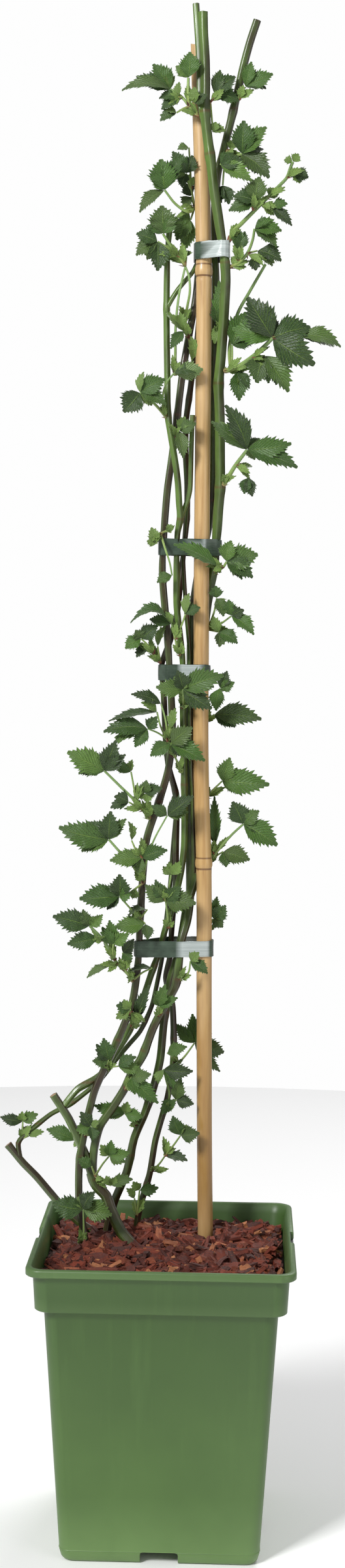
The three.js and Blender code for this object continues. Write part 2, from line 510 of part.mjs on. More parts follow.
    [[[-6, -1, 903], [-10, -6, 908], [-18, -10, 916], [-27, -13, 922.5]],
      [[-7, -15, 933, 14], [-6, -16, 913, 11, 15], [-40, -15, 907, 17, 10], [-24, -14, 939, 7, 50]], 1.2],
    [[[-6, -1, 903], [-9, -4, 917], [-6, -6, 930], [0, -8, 938]], [[23, -12, 941, 13, 165]]],
  ],
  shoot_inner: [
    [[[11, 9, 966], [7, 4, 971]], [[-8, -2, 986.5, 7, 40], [4, 2, 986, 6, 30], [-3, 0, 957, 9, 20]]],
    [[[11, 9, 966], [13, 8, 956], [14, 7, 948]], [[13, 3, 967, 7, 20], [14, 5, 932, 6, 30]]],
  ],
  shoot_big_right: [
    [[[40.5, 4, 940], [45, 0, 941], [52, -4, 944], [62, -9, 951], [70, -13, 958], [78, -17, 966]],
      [[57.5, -20, 997.5, 21], [108, -15, 974, 20, 5], [111.5, -24, 945, 22, 10], [46, -12, 973, 17, 15]], 2],
    [[[78, -17, 966], [89, -16, 968.5], [98, -15, 968]], [[132, -14, 959, 14, 35, 0.12]]],
    [[[62, -9, 951], [72, -11, 952]], [[91, -14, 923.5, 17, 15], [66, -13, 930.5, 18, 10]]],
    [[[45, 0, 941], [51, -2, 940]], [[52, -5, 916.5, 13, 10], [60, -6, 926, 9, 20]]],
    [[[45, 0, 941], [46, 3, 950], [46, 4, 960]], [[57, 6, 986, 18], [63, 5, 962, 15, 15]]],
    [[[45, 0, 941], [44, 7, 960], [50, 11, 985], [58, 13, 1000], [66, 14, 1014], [71.5, 14, 1023.5]],
      [], 1.5],
  ],
  shoot_right_inner: [
    [[[35, 13, 968], [35, 8, 976]], [[31.5, 5, 993, 8, 20], [35, 6, 1011, 8, 10], [32, 7, 961, 7, 20]]],
  ],
  shoot_upper_right: [
    [[[43.5, -5, 1021], [51, -8, 1025], [57, -10, 1032], [61, -12, 1042], [62.5, -12, 1051]],
      [[84, -14, 1049.5, 12, 20], [80, -14, 1037, 14, 20], [78, -13, 1058, 8, 40]], 1.3],
    [[[51, -8, 1025], [50, -9, 1034]], [[48, -8, 1053, 9], [55, -9, 1049, 9]]],
    [[[57, -10, 1032], [61, -9, 1029]], [[64, -9, 1018.5, 8, 20]]],
    [[[57, -10, 1032], [65, -8, 1034]], [[84, -9, 1026, 13, 25], [77, -8, 1022, 11, 20]]],
  ],
  lateral_top_right: [
    [[[42, -8, 1041], [46, -9, 1049], [52, -10, 1055], [59, -11, 1062], [64, -12, 1067], [70, -13, 1073],
      [76, -14, 1079], [82, -14, 1085], [87.5, -15, 1091], [90, -16, 1098], [92, -16, 1103]],
      [[85, -16, 1104.5, 6, 20], [96.5, -17, 1109.5, 6]], 1.6],
    [[[62, -12, 1065], [63, -14, 1072]],
      [[66, -16, 1091.5, 15, 10], [45, -15, 1076, 14, 20], [42, -14, 1065, 13, 20]]],
    [[[68, -13, 1071], [73, -14, 1067], [76, -15, 1068]],
      [[88.5, -16, 1070.5, 8, 20], [92, -17, 1053.5, 9, 15], [81, -16, 1061, 7, 20]], 0.6],
    [[[87.5, -15, 1091], [93, -16, 1094]], [[104.5, -17, 1091, 10, 15], [98, -17, 1086.5, 7, 20]]],
    [[[72, -13, 1075], [74, -13, 1076]], [[77.5, -13, 1083, 6, 10]]],
  ],
  shoot_bright_pair: [
    [[[40.5, -2, 1112], [45, -5, 1108], [52, -8, 1109]],
      [[53, -12, 1135, 16], [71, -12, 1130, 16, 10], [73.5, -14, 1090.5, 16, 15],
        [54, -8, 1098, 6, 20]], 1.2],
    [[[40.5, -2, 1112], [43, -5, 1112]], [[45, -6, 1120.5, 6]]],
    [[[40.5, -2, 1112], [39, -12, 1106], [35, -17, 1101]],
      [[52, -20, 1105, 11, 10], [60, -21, 1088, 13, 15], [44, -19, 1110, 9]]],
    [[[40.5, -2, 1112], [38, -4, 1098], [37, -8, 1085]], [[34, -6, 1069, 8, 20], [42, -7, 1070, 8, 20]]],
  ],
  shoot_left_curl: [
    [[[15, 8, 1068], [10, 0, 1064], [0, -5, 1070], [-9, -9, 1081]],
      [[-12, -13, 1105, 19], [5, -14, 1108, 13, 20], [-18.5, -11, 1091, 9],
        [-28.5, -12, 1063.5, 10, 30]], 1.2],
    [[[15, 8, 1068], [12, 7, 1058]], [[2, 6, 1062, 11], [1, 7, 1042, 16, 15], [7, 7, 1034, 12, 20]]],
    [[[15, 8, 1068], [12, 2, 1082], [8, -2, 1094]],
      [[-3, -5, 1111, 11], [13, -5, 1108, 12], [5, -4, 1083, 9, 20], [-1, -4, 1090, 6, 30]]],
    [[[15, 8, 1068], [12, 7, 1076]], [[6, 7, 1068, 8, 20], [7, 7, 1086, 8]]],
    [[[12, 2, 1082], [11, 1, 1100], [10, -3, 1114]], [[1, -5, 1112.5, 9, 30]]],
  ],
  shoot_left_fan: [
    [[[8, -1, 1022], [3, -4, 1029], [-4, -7, 1038], [-10, -9, 1047]],
      [[-11, -12, 1069, 19], [-23, -11, 1053, 8, 20], [1, -11, 1060, 9]], 1.3],
    [[[3, -4, 1029], [-6, -8, 1036], [-14, -10, 1041]],
      [[-31, -12, 1047, 12, 15], [-31, -13, 1030, 13, 20], [-14, -13, 1018, 15, 20]]],
    [[[8, -1, 1022], [9, 2, 1029]], [[10, 3, 1034, 7, 20]]],
    [[[1, 9, 936], [1, 7, 955], [1, 4, 975], [3.5, 0, 1000], [6, -1, 1012], [8.5, -1, 1023]], [], 1.1],
    [[[8, 14, 978], [10, 8, 990], [12, 0, 1003], [11, -1, 1014], [8, -1, 1022]], [], 1.1],
  ],
  shoot_top_left: [
    [[[17, -14, 1138], [10, -16, 1146], [4, -17, 1153], [-5, -17, 1159]],
      [[-43.5, -20, 1158, 10, 30, 0.25], [-32, -20, 1169, 12, 20], [-19, -20, 1178.5, 14],
        [-9, -18, 1175, 6, 30]], 1.3],
    [[[10, -16, 1146], [9, -19, 1155], [9, -20, 1168]], [[10, -22, 1188, 14], [-1, -21, 1177, 10, 10]], 1.4],
    [[[4, -17, 1153], [1, -18, 1153]],
      [[-14, -20, 1152, 9, 25], [-12, -20, 1143.5, 9, 20], [2, -19, 1165, 5, 20]]],
    [[[10, -16, 1146], [5, -17, 1144], [0, -18, 1141]], [[-13, -19, 1134.5, 8, 25], [-9, -19, 1143, 6, 30]]],
    [[[17, -14, 1138], [14, -18, 1148]], [[24, -22, 1155, 9, 20], [14, -21, 1161, 7, 20]]],
  ],
  shoot_top_right: [
    [[[26.5, -15, 1149], [30, -12, 1155]],
      [[46, -9, 1169, 13, 10], [34, -10, 1174, 9], [49, -8, 1150, 12, 25]]],
    [[[26.5, -15, 1149], [28, -13, 1135], [29, -12, 1126]], [[31, -12, 1134, 6], [39, -12, 1127, 7, 30]]],
  ],
  shoot_dark_tip: [
    [[[49, -6, 1151], [52, -8, 1158], [54, -9, 1161]],
      [[58.5, -10, 1180.5, 9], [75.5, -12, 1171, 13, 10], [70.5, -11, 1159.5, 8, 30]]],
  ],
};

// A leaflet: thin diamond sections strung along the midrib, sharp at the margin, with its halves folded up
// a little. grow widens it all round, for cutting a clearance.
function leaflet(base, [x, y, z, width, roll = 0, arch = 0.08], grow) {
  const along = place([x, y, z]).sub(base);
  const length = along.length();
  along.normalize();
  const front = new THREE.Vector3(0, -1, 0);
  front.addScaledVector(along, -front.dot(along)).normalize();
  const skyward = along.clone().cross(front);
  if (skyward.z < 0) skyward.negate();
  const turn = (roll * Math.PI) / 180;
  const face = front.clone().multiplyScalar(Math.cos(turn)).addScaledVector(skyward, Math.sin(turn));
  const side = along.clone().cross(face);
  const at = (share, across, lift) =>
    base.clone()
      .addScaledVector(along, share * length)
      .addScaledVector(side, across)
      .addScaledVector(face, lift + 4 * share * (1 - share) * arch * length)
      .toArray();
  const thick = BLADE_THICKNESS / 2 + grow;
  const stations = width < LARGE_BLADE ? [[0.42, 0.48]] : [[0.25, 0.45], [0.64, 0.42]];
  const points = stations.flatMap(([share, half]) => {
    const reach = half * width + grow;
    return [
      at(share, reach, FOLD * reach),
      at(share, 0, thick),
      at(share, -reach, FOLD * reach),
      at(share, 0, -thick),
    ];
  });
  const foot = points.push(at(JOINT_RADIUS / 3 / length, 0, 0)) - 1;
  const tip = points.push(at(1 + grow / length, 0, 0)) - 1;
  const end = 4 * (stations.length - 1);
  const faces = [];
  for (let i = 0; i < 4; i += 1) {
    const next = (i + 1) % 4;
    faces.push([foot, i, next], [tip, end + next, end + i]);
    if (end > 0) faces.push([i, i + 4, next + 4], [i, next + 4, next]);
  }
  return solidOf(triangles(points, faces));
}

function shootSolid(leaves, grow) {
  return joined(
    leaves.flatMap(([stalk, blades, radius = PETIOLE_RADIUS]) => {
      const points = stalk.map(place);
      const joint = points[points.length - 1];
      const knuckle = new THREE.OctahedronGeometry(JOINT_RADIUS + grow).translate(joint.x, joint.y, joint.z);
      return [
        tube(points, radius + grow, 3, 22),
        solidOf(knuckle),
        ...blades.map((blade) => leaflet(joint, blade, grow)),
      ];
    }),
  );
}

function caneSolid(parts, grow) {
  return joined(
    parts.map(([radius, points, rooted]) => {
      const route = points.map(place);
      if (rooted) route.unshift(new THREE.Vector3(route[0].x, route[0].y, FOOT_Z));
      return tube(route, radius + grow, 6, 34);
    }),
  );
}

// ---------------------------------------------------------------- ties
// Where a cane crosses the height z, as [x, y, radius].
function crossings(parts, z) {
  return parts.flatMap(([radius, points]) => {
    const route = points.map(place);
    return route.slice(1).flatMap((end, i) => {
      const start = route[i];
      const share = (z - start.z) / (end.z - start.z);
      if (!(share >= 0 && share < 1)) return [];
      return [[start.x + share * (end.x - start.x), start.y + share * (end.y - start.y), radius]];
    });
  });
}

// The outline of a band pulled tight round circles, as points in order.
function bandOutline(circles, offset) {
  const cloud = circles.flatMap(([x, y, radius]) =>
    regularSection(radius + offset, 10).getPoints().map((p) => [x + p.x, y + p.y]),
  );
  cloud.sort((a, b) => a[0] - b[0] || a[1] - b[1]);
  const turn = (o, a, b) => (a[0] - o[0]) * (b[1] - o[1]) - (a[1] - o[1]) * (b[0] - o[0]);
  const chain = (points) => {
    const kept = [];
    for (const point of points) {
      while (kept.length > 1 && turn(kept[kept.length - 2], kept[kept.length - 1], point) <= 0) kept.pop();
      kept.push(point);
    }
    return kept.slice(0, -1);
  };
  const hull = [...chain(cloud), ...chain(cloud.slice().reverse())];
  return hull.map(([x, y]) => new THREE.Vector2(x, y));
}

function tieSolid(z, passedBy, grow) {
  const held = Object.keys(tied).filter((name) => !passedBy.includes(name));
  const circles = held.flatMap((name) => crossings(tied[name], z));
  const outer = new THREE.Shape(bandOutline(circles, TIE_SLACK + TIE_THICKNESS + grow));
  const inner = new THREE.Shape(bandOutline(circles, TIE_SLACK - grow));
  const height = TIE_HEIGHT + 2 * grow;
  const band = new THREE.ExtrudeGeometry(outer, { depth: height, bevelEnabled: false });
  const hollow = new THREE.ExtrudeGeometry(inner, { depth: height + 2, bevelEnabled: false });
  band.translate(0, 0, z - height / 2);
  hollow.translate(0, 0, z - height / 2 - 1);
  return solidOf(band).subtract(solidOf(hollow));
}

// ---------------------------------------------------------------- assembly
const group = new THREE.Group();
const placed = []; // each piece's name, with its shape grown by the clearance

const COLOURS = {
  pot: { color: 0x60784a, roughness: 0.55 },
  compost: { color: 0x2a1c14, roughness: 1 },
  bark: { color: 0x5e2f22, roughness: 0.9 },
  bamboo: { color: 0xb8935a, roughness: 0.5 },
  cane: { color: 0x59683a, roughness: 0.6 },
  tie: { color: 0x5c6b5c, roughness: 0.35 },
  leaf: { color: 0x2f5522, roughness: 0.55 },
};

function boxesMeet(a, b) {
  return [0, 1, 2].every((i) => a.min[i] <= b.max[i] && b.min[i] <= a.max[i]);
}

function add(name, finish, make) {
  let solid = make(0);
  const grown = make(GAP);
  const reach = grown.boundingBox();
  for (const other of placed) {
    if (boxesMeet(reach, other.box)) solid = solid.subtract(other.grown);
  }
  solid = largestOf(solid);
  const material = new THREE.MeshStandardMaterial({ ...COLOURS[finish], metalness: 0 });
  const mesh = new THREE.Mesh(geometryOf(solid), material);
  mesh.name = name;
  group.add(mesh);
  placed.push({ grown, box: reach });
}

const bambooParts = [[BAMBOO_RADIUS, BAMBOO, false]];
const tied = { bamboo: bambooParts };
for (const name of ['cane_left', 'cane_middle', 'cane_right', 'cane_cut', 'cane_dark', 'cane_green']) {
  tied[name] = CANES[name];
}

add('bamboo_cane', 'bamboo', (grow) => {
  const route = BAMBOO.map(place);
  const top = route[route.length - 1];
  const cane = tube(route, BAMBOO_RADIUS + grow, 10, 90);
  const bore = new THREE.CylinderGeometry(BAMBOO_BORE, BAMBOO_BORE, 24, 8);
  bore.rotateX(Math.PI / 2).translate(top.x, top.y, top.z);
  return grow > 0 ? cane : cane.subtract(solidOf(bore));
});
for (const [name, parts] of Object.entries(CANES)) {
  add(name, 'cane', (grow) => caneSolid(parts, grow));
}
for (const [name, [height, passedBy]] of Object.entries(TIES)) {
  add(name, 'tie', (grow) => tieSolid(height, passedBy, grow));
}
for (const [name, leaves] of Object.entries(SHOOTS)) {
  add(name, 'leaf', (grow) => shootSolid(leaves, grow));
}
add('compost', 'compost', compostSolid);
add('bark_mulch', 'bark', barkSolid);
add('pot', 'pot', potSolid);

export default group;
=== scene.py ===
# %% [markdown]
# # A potted bramble
# The plant stands in a square green nursery pot, with its canes taped to one bamboo cane. The
# file builds it piece by piece: the pot, the bark on the compost, the bamboo, the canes, the
# tape ties and last the leafy shoots. The solid model of the same plant is loaded first, and
# its box, its nodes and its routes fix where everything stands. What the solid leaves out, such
# as ridges, nodes, loose chips and the smallest leaves, is added here.

# %% Load the solid model
import json
import math
import random

import bpy
import numpy as np
from mathutils import Matrix, Vector

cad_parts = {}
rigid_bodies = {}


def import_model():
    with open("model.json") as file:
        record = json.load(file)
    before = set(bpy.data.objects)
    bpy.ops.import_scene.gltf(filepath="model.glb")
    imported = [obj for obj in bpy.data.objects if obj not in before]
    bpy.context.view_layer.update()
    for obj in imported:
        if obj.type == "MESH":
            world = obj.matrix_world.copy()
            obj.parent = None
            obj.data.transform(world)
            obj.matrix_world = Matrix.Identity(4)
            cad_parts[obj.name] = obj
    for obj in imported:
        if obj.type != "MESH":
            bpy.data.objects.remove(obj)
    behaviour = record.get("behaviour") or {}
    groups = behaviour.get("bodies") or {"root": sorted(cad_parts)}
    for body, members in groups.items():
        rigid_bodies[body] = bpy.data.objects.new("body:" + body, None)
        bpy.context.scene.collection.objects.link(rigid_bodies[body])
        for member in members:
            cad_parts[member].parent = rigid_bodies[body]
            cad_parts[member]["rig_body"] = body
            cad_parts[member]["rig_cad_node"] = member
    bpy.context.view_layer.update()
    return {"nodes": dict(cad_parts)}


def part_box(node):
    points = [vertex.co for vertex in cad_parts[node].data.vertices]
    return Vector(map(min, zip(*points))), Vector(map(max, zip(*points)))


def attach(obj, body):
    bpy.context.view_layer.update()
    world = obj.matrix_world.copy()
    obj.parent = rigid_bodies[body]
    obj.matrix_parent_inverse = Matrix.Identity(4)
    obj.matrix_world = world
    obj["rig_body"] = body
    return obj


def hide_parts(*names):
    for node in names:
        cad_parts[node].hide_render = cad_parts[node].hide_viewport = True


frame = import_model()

MM = 0.001

# %% [markdown]
# ## Where the points are
# Each point of the plant is written as [x, y, z] in millimetres. y is its real depth. x and z
# are where the point shows on the upright plane through the pot's middle, to an eye in front
# of the pot. `place` follows the line from the eye through that spot to the real depth. So a
# cane can be moved back and forth without changing how the plant looks from the front.

# %% From a sighted point to its real place
EYE = Vector((60, -1659, 720))


def place(point):
    seen = Vector((point[0], 0, point[2]))
    reach = 1 - point[1] / EYE.y
    return (EYE + (seen - EYE) * reach) * MM


print("a point 50 mm back:", [round(c, 4) for c in place([0, 50, 500])])

# %% [markdown]
# ## The bamboo and the canes
# These are the routes of the solid model, repeated. Each cane is a list of branches: the
# radius, the points from the root up, and whether the branch stands in the compost.

# %% Routes of the bamboo and the canes
BAMBOO = [
  [35, 51, 120], [32.7, 45, 238], [31, 41, 320], [29.5, 35, 430], [28, 28.5, 545], [25.7, 25.5, 600],
  [24.4, 23, 650], [24, 20, 720], [23.6, 16.5, 780], [23.5, 13, 845], [23.3, 9.5, 910], [23.2, 6.5, 980],
  [22.8, 4, 1020], [21.6, 2, 1060], [20.3, 0, 1100], [18.3, -3, 1150], [16.8, -5, 1194],
]
CANES = {
  "cane_left": [
    [2.7, [
      [-65, 10, 228], [-71, 14, 268], [-71, 16, 300], [-67, 18, 325], [-59, 19, 359], [-42.4, 20, 397],
      [-29, 21, 432], [-24.5, 21, 465], [-22.9, 21, 505], [-18.5, 20, 565], [-9.4, 20, 594],
      [-1.5, 19, 622], [1.5, 17, 650], [0, 15, 685], [-3.5, 14, 732], [-7.8, 12, 780], [-7, 9, 808],
      [-4.5, 7, 845], [-1, 7, 872], [3, 8, 905], [7, 9, 940], [12, 12, 970], [17, 15, 1000],
      [20, 14, 1050], [20.5, 13, 1085],
    ], True],
  ],
  "cane_middle": [
    [4.2, [
      [-24, 7, 228], [-36, 12, 243], [-45, 16, 262], [-49, 18, 273], [-56.5, 20, 281], [-61, 21, 292],
    ], True],
    [3.2, [[-60, 21, 289], [-66, 20, 306], [-71, 19, 317], [-80, 17, 336], [-92.7, 14, 355.5]], False],
    [3, [
      [-60, 21, 288], [-60, 21, 300], [-59, 21, 312], [-54.5, 22, 330], [-44, 23, 346], [-34.5, 24, 361.5],
      [-29.5, 24, 373], [-20.5, 25, 388], [-11.7, 25, 412], [-2.8, 25, 430], [6.2, 24, 447], [8.7, 24, 465],
      [11, 24, 485], [15, 30, 500], [17, 35, 515], [16.5, 36, 560], [15.5, 33, 608], [15, 31, 660],
      [15.5, 30, 718], [17.5, 29, 755], [22, 28, 785], [28, 26, 812], [31, 22, 838], [32, 20, 865],
      [32, 18, 900], [32, 16, 950], [32.5, 13, 1000], [31.5, 11, 1040], [31, 8, 1070], [33, 5, 1095],
      [36.5, 3, 1108], [40.5, 1, 1125], [44.5, -1, 1142], [48.5, -3, 1160], [53, -5, 1180],
      [57.3, -6, 1196], [62.7, -8, 1212.5],
    ], False],
  ],
  "cane_right": [
    [3.7, [
      [33, 58, 252], [31.5, 54, 330], [29.5, 50, 430], [28, 45, 545], [25.5, 40, 610], [24.5, 35, 680],
      [25.5, 31, 730], [29.5, 26, 765], [33.5, 21, 785], [35.3, 17, 808], [36.5, 13, 830],
      [37.8, 11, 848], [37.5, 10, 868], [36.8, 8, 905], [35.6, 7, 930], [37, 5, 948], [38.5, 3, 970],
      [39.6, 0, 992], [40.3, -3, 1012], [39, -7, 1031], [36, -9, 1047], [33.5, -10.5, 1062],
      [30.5, -12, 1080], [28, -13, 1100], [24.7, -14, 1122], [22.4, -15, 1142], [22.5, -15.5, 1162],
      [22, -16, 1182], [20.5, -17, 1202], [20, -17, 1218.5],
    ], True],
    [2.7, [[21.5, -14, 1137], [18.9, -13.5, 1150], [18.2, -13.5, 1170], [17.3, -13, 1188], [14.4, -14, 1225]],
      False],
  ],
  "cane_cut": [
    [3, [
      [-48, 60, 243], [-42.7, 56, 267], [-32, 50, 294], [-26, 46, 322], [-17.8, 43, 342], [-11, 41, 363],
      [-5.8, 39, 386], [-3, 38, 417], [2.2, 37, 453], [5.2, 37, 463], [8.5, 37, 478], [12, 37, 497],
      [14.5, 36.5, 512], [19, 34, 525], [23, 33, 538.5],
    ], True],
    [1.6, [
      [19.5, 34, 529], [20, 33, 546], [18.8, 31.5, 575], [18, 29, 605], [16.8, 25, 628], [15.5, 22, 660],
      [14.5, 21, 718], [12, 20, 745], [9, 18, 790], [11, 17, 815], [12.5, 16, 842],
    ], False],
  ],
  "cane_dark": [
    [2.3, [
      [-24.5, 55, 241], [-22.5, 53, 256], [-19.4, 51, 270], [-13.3, 48, 292], [-9, 45, 319],
      [-4.3, 43, 337], [0, 42, 352], [4, 43, 375], [5.2, 45, 395], [3.8, 47, 431], [-1.5, 47, 453],
      [1.4, 47, 470], [3, 45, 500], [5.5, 41, 530], [5.5, 36, 560], [5, 32, 602], [-1, 29, 624],
      [-3.5, 26, 645], [-5.5, 24, 680], [-7.3, 22, 707], [-1.5, 24, 724], [4, 26, 745], [7, 26, 775],
      [9.5, 27, 800], [11.5, 27, 825], [11.5, 26, 850], [10, 24, 875], [10, 22, 900], [12.5, 20, 920],
      [15, 19, 940], [18, 18, 962], [19.5, 17.5, 980],
    ], True],
  ],
  "cane_low_left": [
    [3, [[-56, 55, 240], [-71, 56, 251], [-83.5, 56, 262], [-94, 56, 274], [-106, 56, 288], [-117, 56, 299],
      [-129.5, 56, 314]], True],
    [1.75, [
      [-119, 56, 301], [-121, 55, 315], [-118, 53, 320], [-111, 50, 326], [-94, 44, 340], [-79, 41, 348],
      [-71, 40, 354], [-55, 39, 368], [-42, 39, 385], [-30.5, 40, 399], [-22.3, 42, 409],
      [-13, 46, 430], [-8, 51, 453], [-4, 53, 475], [-2, 51, 500], [1, 48, 530], [3, 44, 560], [5, 40, 585],
    ], False],
  ],
  "cane_green": [
    [2.4, [
      [-83.7, 17, 347], [-79, 18, 353.5], [-72.5, 20, 361], [-59, 24, 369], [-50, 27, 377], [-44, 30, 388],
      [-34, 32, 404], [-22.3, 33, 430], [-13.5, 33, 457], [-9, 33, 470], [-3, 32, 492], [4, 30, 515],
      [9.5, 29, 540], [11.8, 27.5, 560], [11.5, 24.5, 608], [10, 20, 660], [9, 18, 710], [5.5, 15, 739],
      [3.8, 13, 755], [3.5, 11, 780], [3.5, 10, 800], [4, 9, 812], [6, 7, 823], [5, 4, 835],
      [4, 1, 850], [2.5, -1, 862], [0.5, -1.5, 874], [-2, -1, 888], [-4, 0, 900], [-5, 2, 915],
      [-5.3, 4, 932], [-6, 5, 960], [-6.5, 5, 985], [-6.5, 5, 1010], [-6, 3, 1035], [-4, 1, 1058],
    ], False],
    [1.8, [[5.5, 8, 820], [8.5, 9, 829], [11.5, 9, 837], [13.5, 8, 846], [14, 7, 860], [14.3, 6, 880],
      [15, 5, 905]], False],
    [1.7, [[-6.3, 5, 989], [-1, 4, 998], [3, 4, 1004], [8, 4, 1010], [14, 6, 1017], [18, 10, 1026]], False],
  ],
}

print("canes:", len(CANES))

# %% [markdown]
# ## Camera
# The plant is seen from about 1.7 m in front and a little above its middle, turned slightly to
# the left and down. The lens is long, so the pot keeps its straight sides.

# %% Camera
CAMERA_PLACE = Vector((0.05995, -1.65868, 0.72043))
YAW, PITCH, ROLL = 0.0348966, -0.0660698, 0.0100054
look = Vector((-math.sin(YAW) * math.cos(PITCH), math.cos(YAW) * math.cos(PITCH), math.sin(PITCH)))
level = Vector((math.cos(YAW), math.sin(YAW), 0))
upright = level.cross(look)
right = level * math.cos(ROLL) + upright * math.sin(ROLL)
up = upright * math.cos(ROLL) - level * math.sin(ROLL)
camera_data = bpy.data.cameras.new("camera")
camera_data.lens = 47.42
camera_data.sensor_fit = "VERTICAL"
camera_data.sensor_height = 36
camera = bpy.data.objects.new("camera", camera_data)
bpy.context.scene.collection.objects.link(camera)
camera.matrix_world = Matrix.Translation(CAMERA_PLACE) @ Matrix((right, up, -look)).transposed().to_4x4()
bpy.context.scene.camera = camera
print("camera is", round((CAMERA_PLACE.xy).length, 2), "m from the pot")

# %% [markdown]
# ## Working by hand, in code
# Blender's operators act on whatever is selected, as they do under the mouse. So each piece
# starts from an empty selection. These few helpers keep that in one place.

# %% Selection helpers
def only(*pieces):
    """Selects just these objects, in object mode, with the first one active."""
    if bpy.context.object and bpy.context.object.mode != "OBJECT":
        bpy.ops.object.mode_set(mode="OBJECT")
    for o in bpy.context.view_layer.objects:
        o.select_set(False)
    for piece in pieces:
        piece.select_set(True)
    bpy.context.view_layer.objects.active = pieces[0] if pieces else None


def edit(piece, kind="VERT"):
    only(piece)
    bpy.ops.object.mode_set(mode="EDIT")
    bpy.ops.mesh.select_mode(type=kind)


def named(name):
    """The object that an operator has just added, renamed."""
    piece = bpy.context.object
    piece.name = name
    piece.data.name = name
    return piece


def apply_all(piece):
    only(piece)
    for modifier in list(piece.modifiers):
        bpy.ops.object.modifier_apply(modifier=modifier.name)


def settle(piece):
    """Moves an object's place, turn and size into its mesh."""
    only(piece)
    bpy.ops.object.transform_apply(location=True, rotation=True, scale=True)


def copy_of(template, name):
    twin = template.copy()
    twin.data = template.data.copy()
    twin.name = name
    twin.data.name = name
    bpy.context.scene.collection.objects.link(twin)
    return twin


def join(name, pieces):
    only(*pieces)
    if len(pieces) > 1:
        bpy.ops.object.join()
    return named(name)


def smooth(piece, angle=40):
    only(piece)
    bpy.ops.object.shade_smooth_by_angle(angle=math.radians(angle))


def points_of(piece):
    found = np.empty(len(piece.data.vertices) * 3)
    piece.data.vertices.foreach_get("co", found)
    return found.reshape(-1, 3)


def set_points(piece, points):
    piece.data.vertices.foreach_set("co", np.asarray(points, float).ravel())
    piece.data.update()


def mark(piece, name, values):
    """Writes one number per vertex, for the materials to read."""
    layer = piece.data.attributes.get(name) or piece.data.attributes.new(name, "FLOAT", "POINT")
    count = len(piece.data.vertices)
    layer.data.foreach_set("value", np.broadcast_to(np.asarray(values, np.float32), count).copy())


def belongs(piece, node):
    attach(piece, "root")
    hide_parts(node)


# %% [markdown]
# ## Writing materials
# A material is a small network: noises and waves make masks, ramps turn masks into colours, and
# bump nodes turn them into relief. `node` adds one node and joins its inputs, so that each
# material below reads from top to bottom.

# %% Material helpers
def srgb(red, green, blue):
    """A colour as seen on a screen, 0 to 255, as the linear colour that light needs."""
    linear = [c / 3294.6 if c <= 10.3 else ((c / 255 + 0.055) / 1.055) ** 2.4 for c in (red, green, blue)]
    return (*linear, 1)


def new_material(name):
    material = bpy.data.materials.new(name)
    material.use_nodes = True
    tree = material.node_tree
    return material, tree, tree.nodes["Principled BSDF"]


def node(tree, kind, settings=None, **inputs):
    made = tree.nodes.new("ShaderNode" + kind)
    for key, value in (settings or {}).items():
        setattr(made, key, value)
    for key, value in inputs.items():
        socket = made.inputs[int(key[1:])] if key[0] == "i" and key[1:].isdigit() else made.inputs[key]
        join_or_set(tree, socket, value)
    return made


def join_or_set(tree, socket, value):
    if isinstance(value, bpy.types.NodeSocket):
        tree.links.new(value, socket)
    else:
        socket.default_value = value


def maths(tree, operation, first, second=0.0, clamp=False):
    settings = {"operation": operation, "use_clamp": clamp}
    return node(tree, "Math", settings, i0=first, i1=second).outputs[0]


def ramp(tree, mask, stops):
    made = node(tree, "ValToRGB", i0=mask)
    band = made.color_ramp
    while len(band.elements) < len(stops):
        band.elements.new(0.5)
    for element, (position, colour) in zip(band.elements, stops):
        element.position = position
        element.color = colour
    return made.outputs["Color"]


def grey(value):
    return (value, value, value, 1)


def mix(tree, share, first, second, blend="MIX"):
    settings = {"data_type": "RGBA", "blend_type": blend}
    made = node(tree, "Mix", settings)
    join_or_set(tree, made.inputs[0], share)
    join_or_set(tree, made.inputs[6], first)
    join_or_set(tree, made.inputs[7], second)
    return made.outputs[2]


def attribute(tree, name):
    return node(tree, "Attribute", {"attribute_name": name}).outputs["Fac"]


def object_place(tree, scale=(1, 1, 1)):
    """Coordinates in metres, stretched by scale, so that a pattern can be long in one direction."""
    place_node = node(tree, "TexCoord").outputs["Object"]
    return node(tree, "Mapping", Vector=place_node, Scale=scale).outputs[0]


def noise(tree, where, scale, detail=4.0, rough=0.55):
    return node(tree, "TexNoise", Vector=where, Scale=scale, Detail=detail, Roughness=rough).outputs["Fac"]


def bump(tree, height, distance, strength=1.0, under=None):
    made = node(tree, "Bump", Height=height, Distance=distance, Strength=strength)
    if under is not None:
        tree.links.new(under, made.inputs["Normal"])
    return made.outputs[0]


print("helpers ready")
# %% [markdown]
# ## Stage
# A round pale floor and a white room. The room is the world itself, so the plant can be looked
# at from every side. What the camera sees of the room is nearly white, and what the plant
# receives from it is dimmer, so that the lamps still give the leaves and canes their shape.

# %% Floor
FLOOR_RADIUS = 1.7
only()
bpy.ops.mesh.primitive_circle_add(vertices=96, radius=FLOOR_RADIUS, fill_type="NGON", location=(0, 0, 0))
floor = named("studio_floor")
print("floor:", len(floor.data.polygons), "face,", 2 * FLOOR_RADIUS, "m across")

# %% Floor paint
paper, tree, shader = new_material("studio_paper")
speckle = noise(tree, object_place(tree), 900.0)
shader.inputs["Roughness"].default_value = 0.9
tree.links.new(ramp(tree, speckle, [(0.3, grey(0.92)), (0.7, grey(0.95))]), shader.inputs["Base Color"])
floor.data.materials.append(paper)

# %% [markdown]
# ## Light
# One lamp stands high in front on the left and gives the canes their bright left edges. A
# weaker one on the right fills the shadows, and a third behind lifts the leaves off the
# background. The pale world light does the rest.

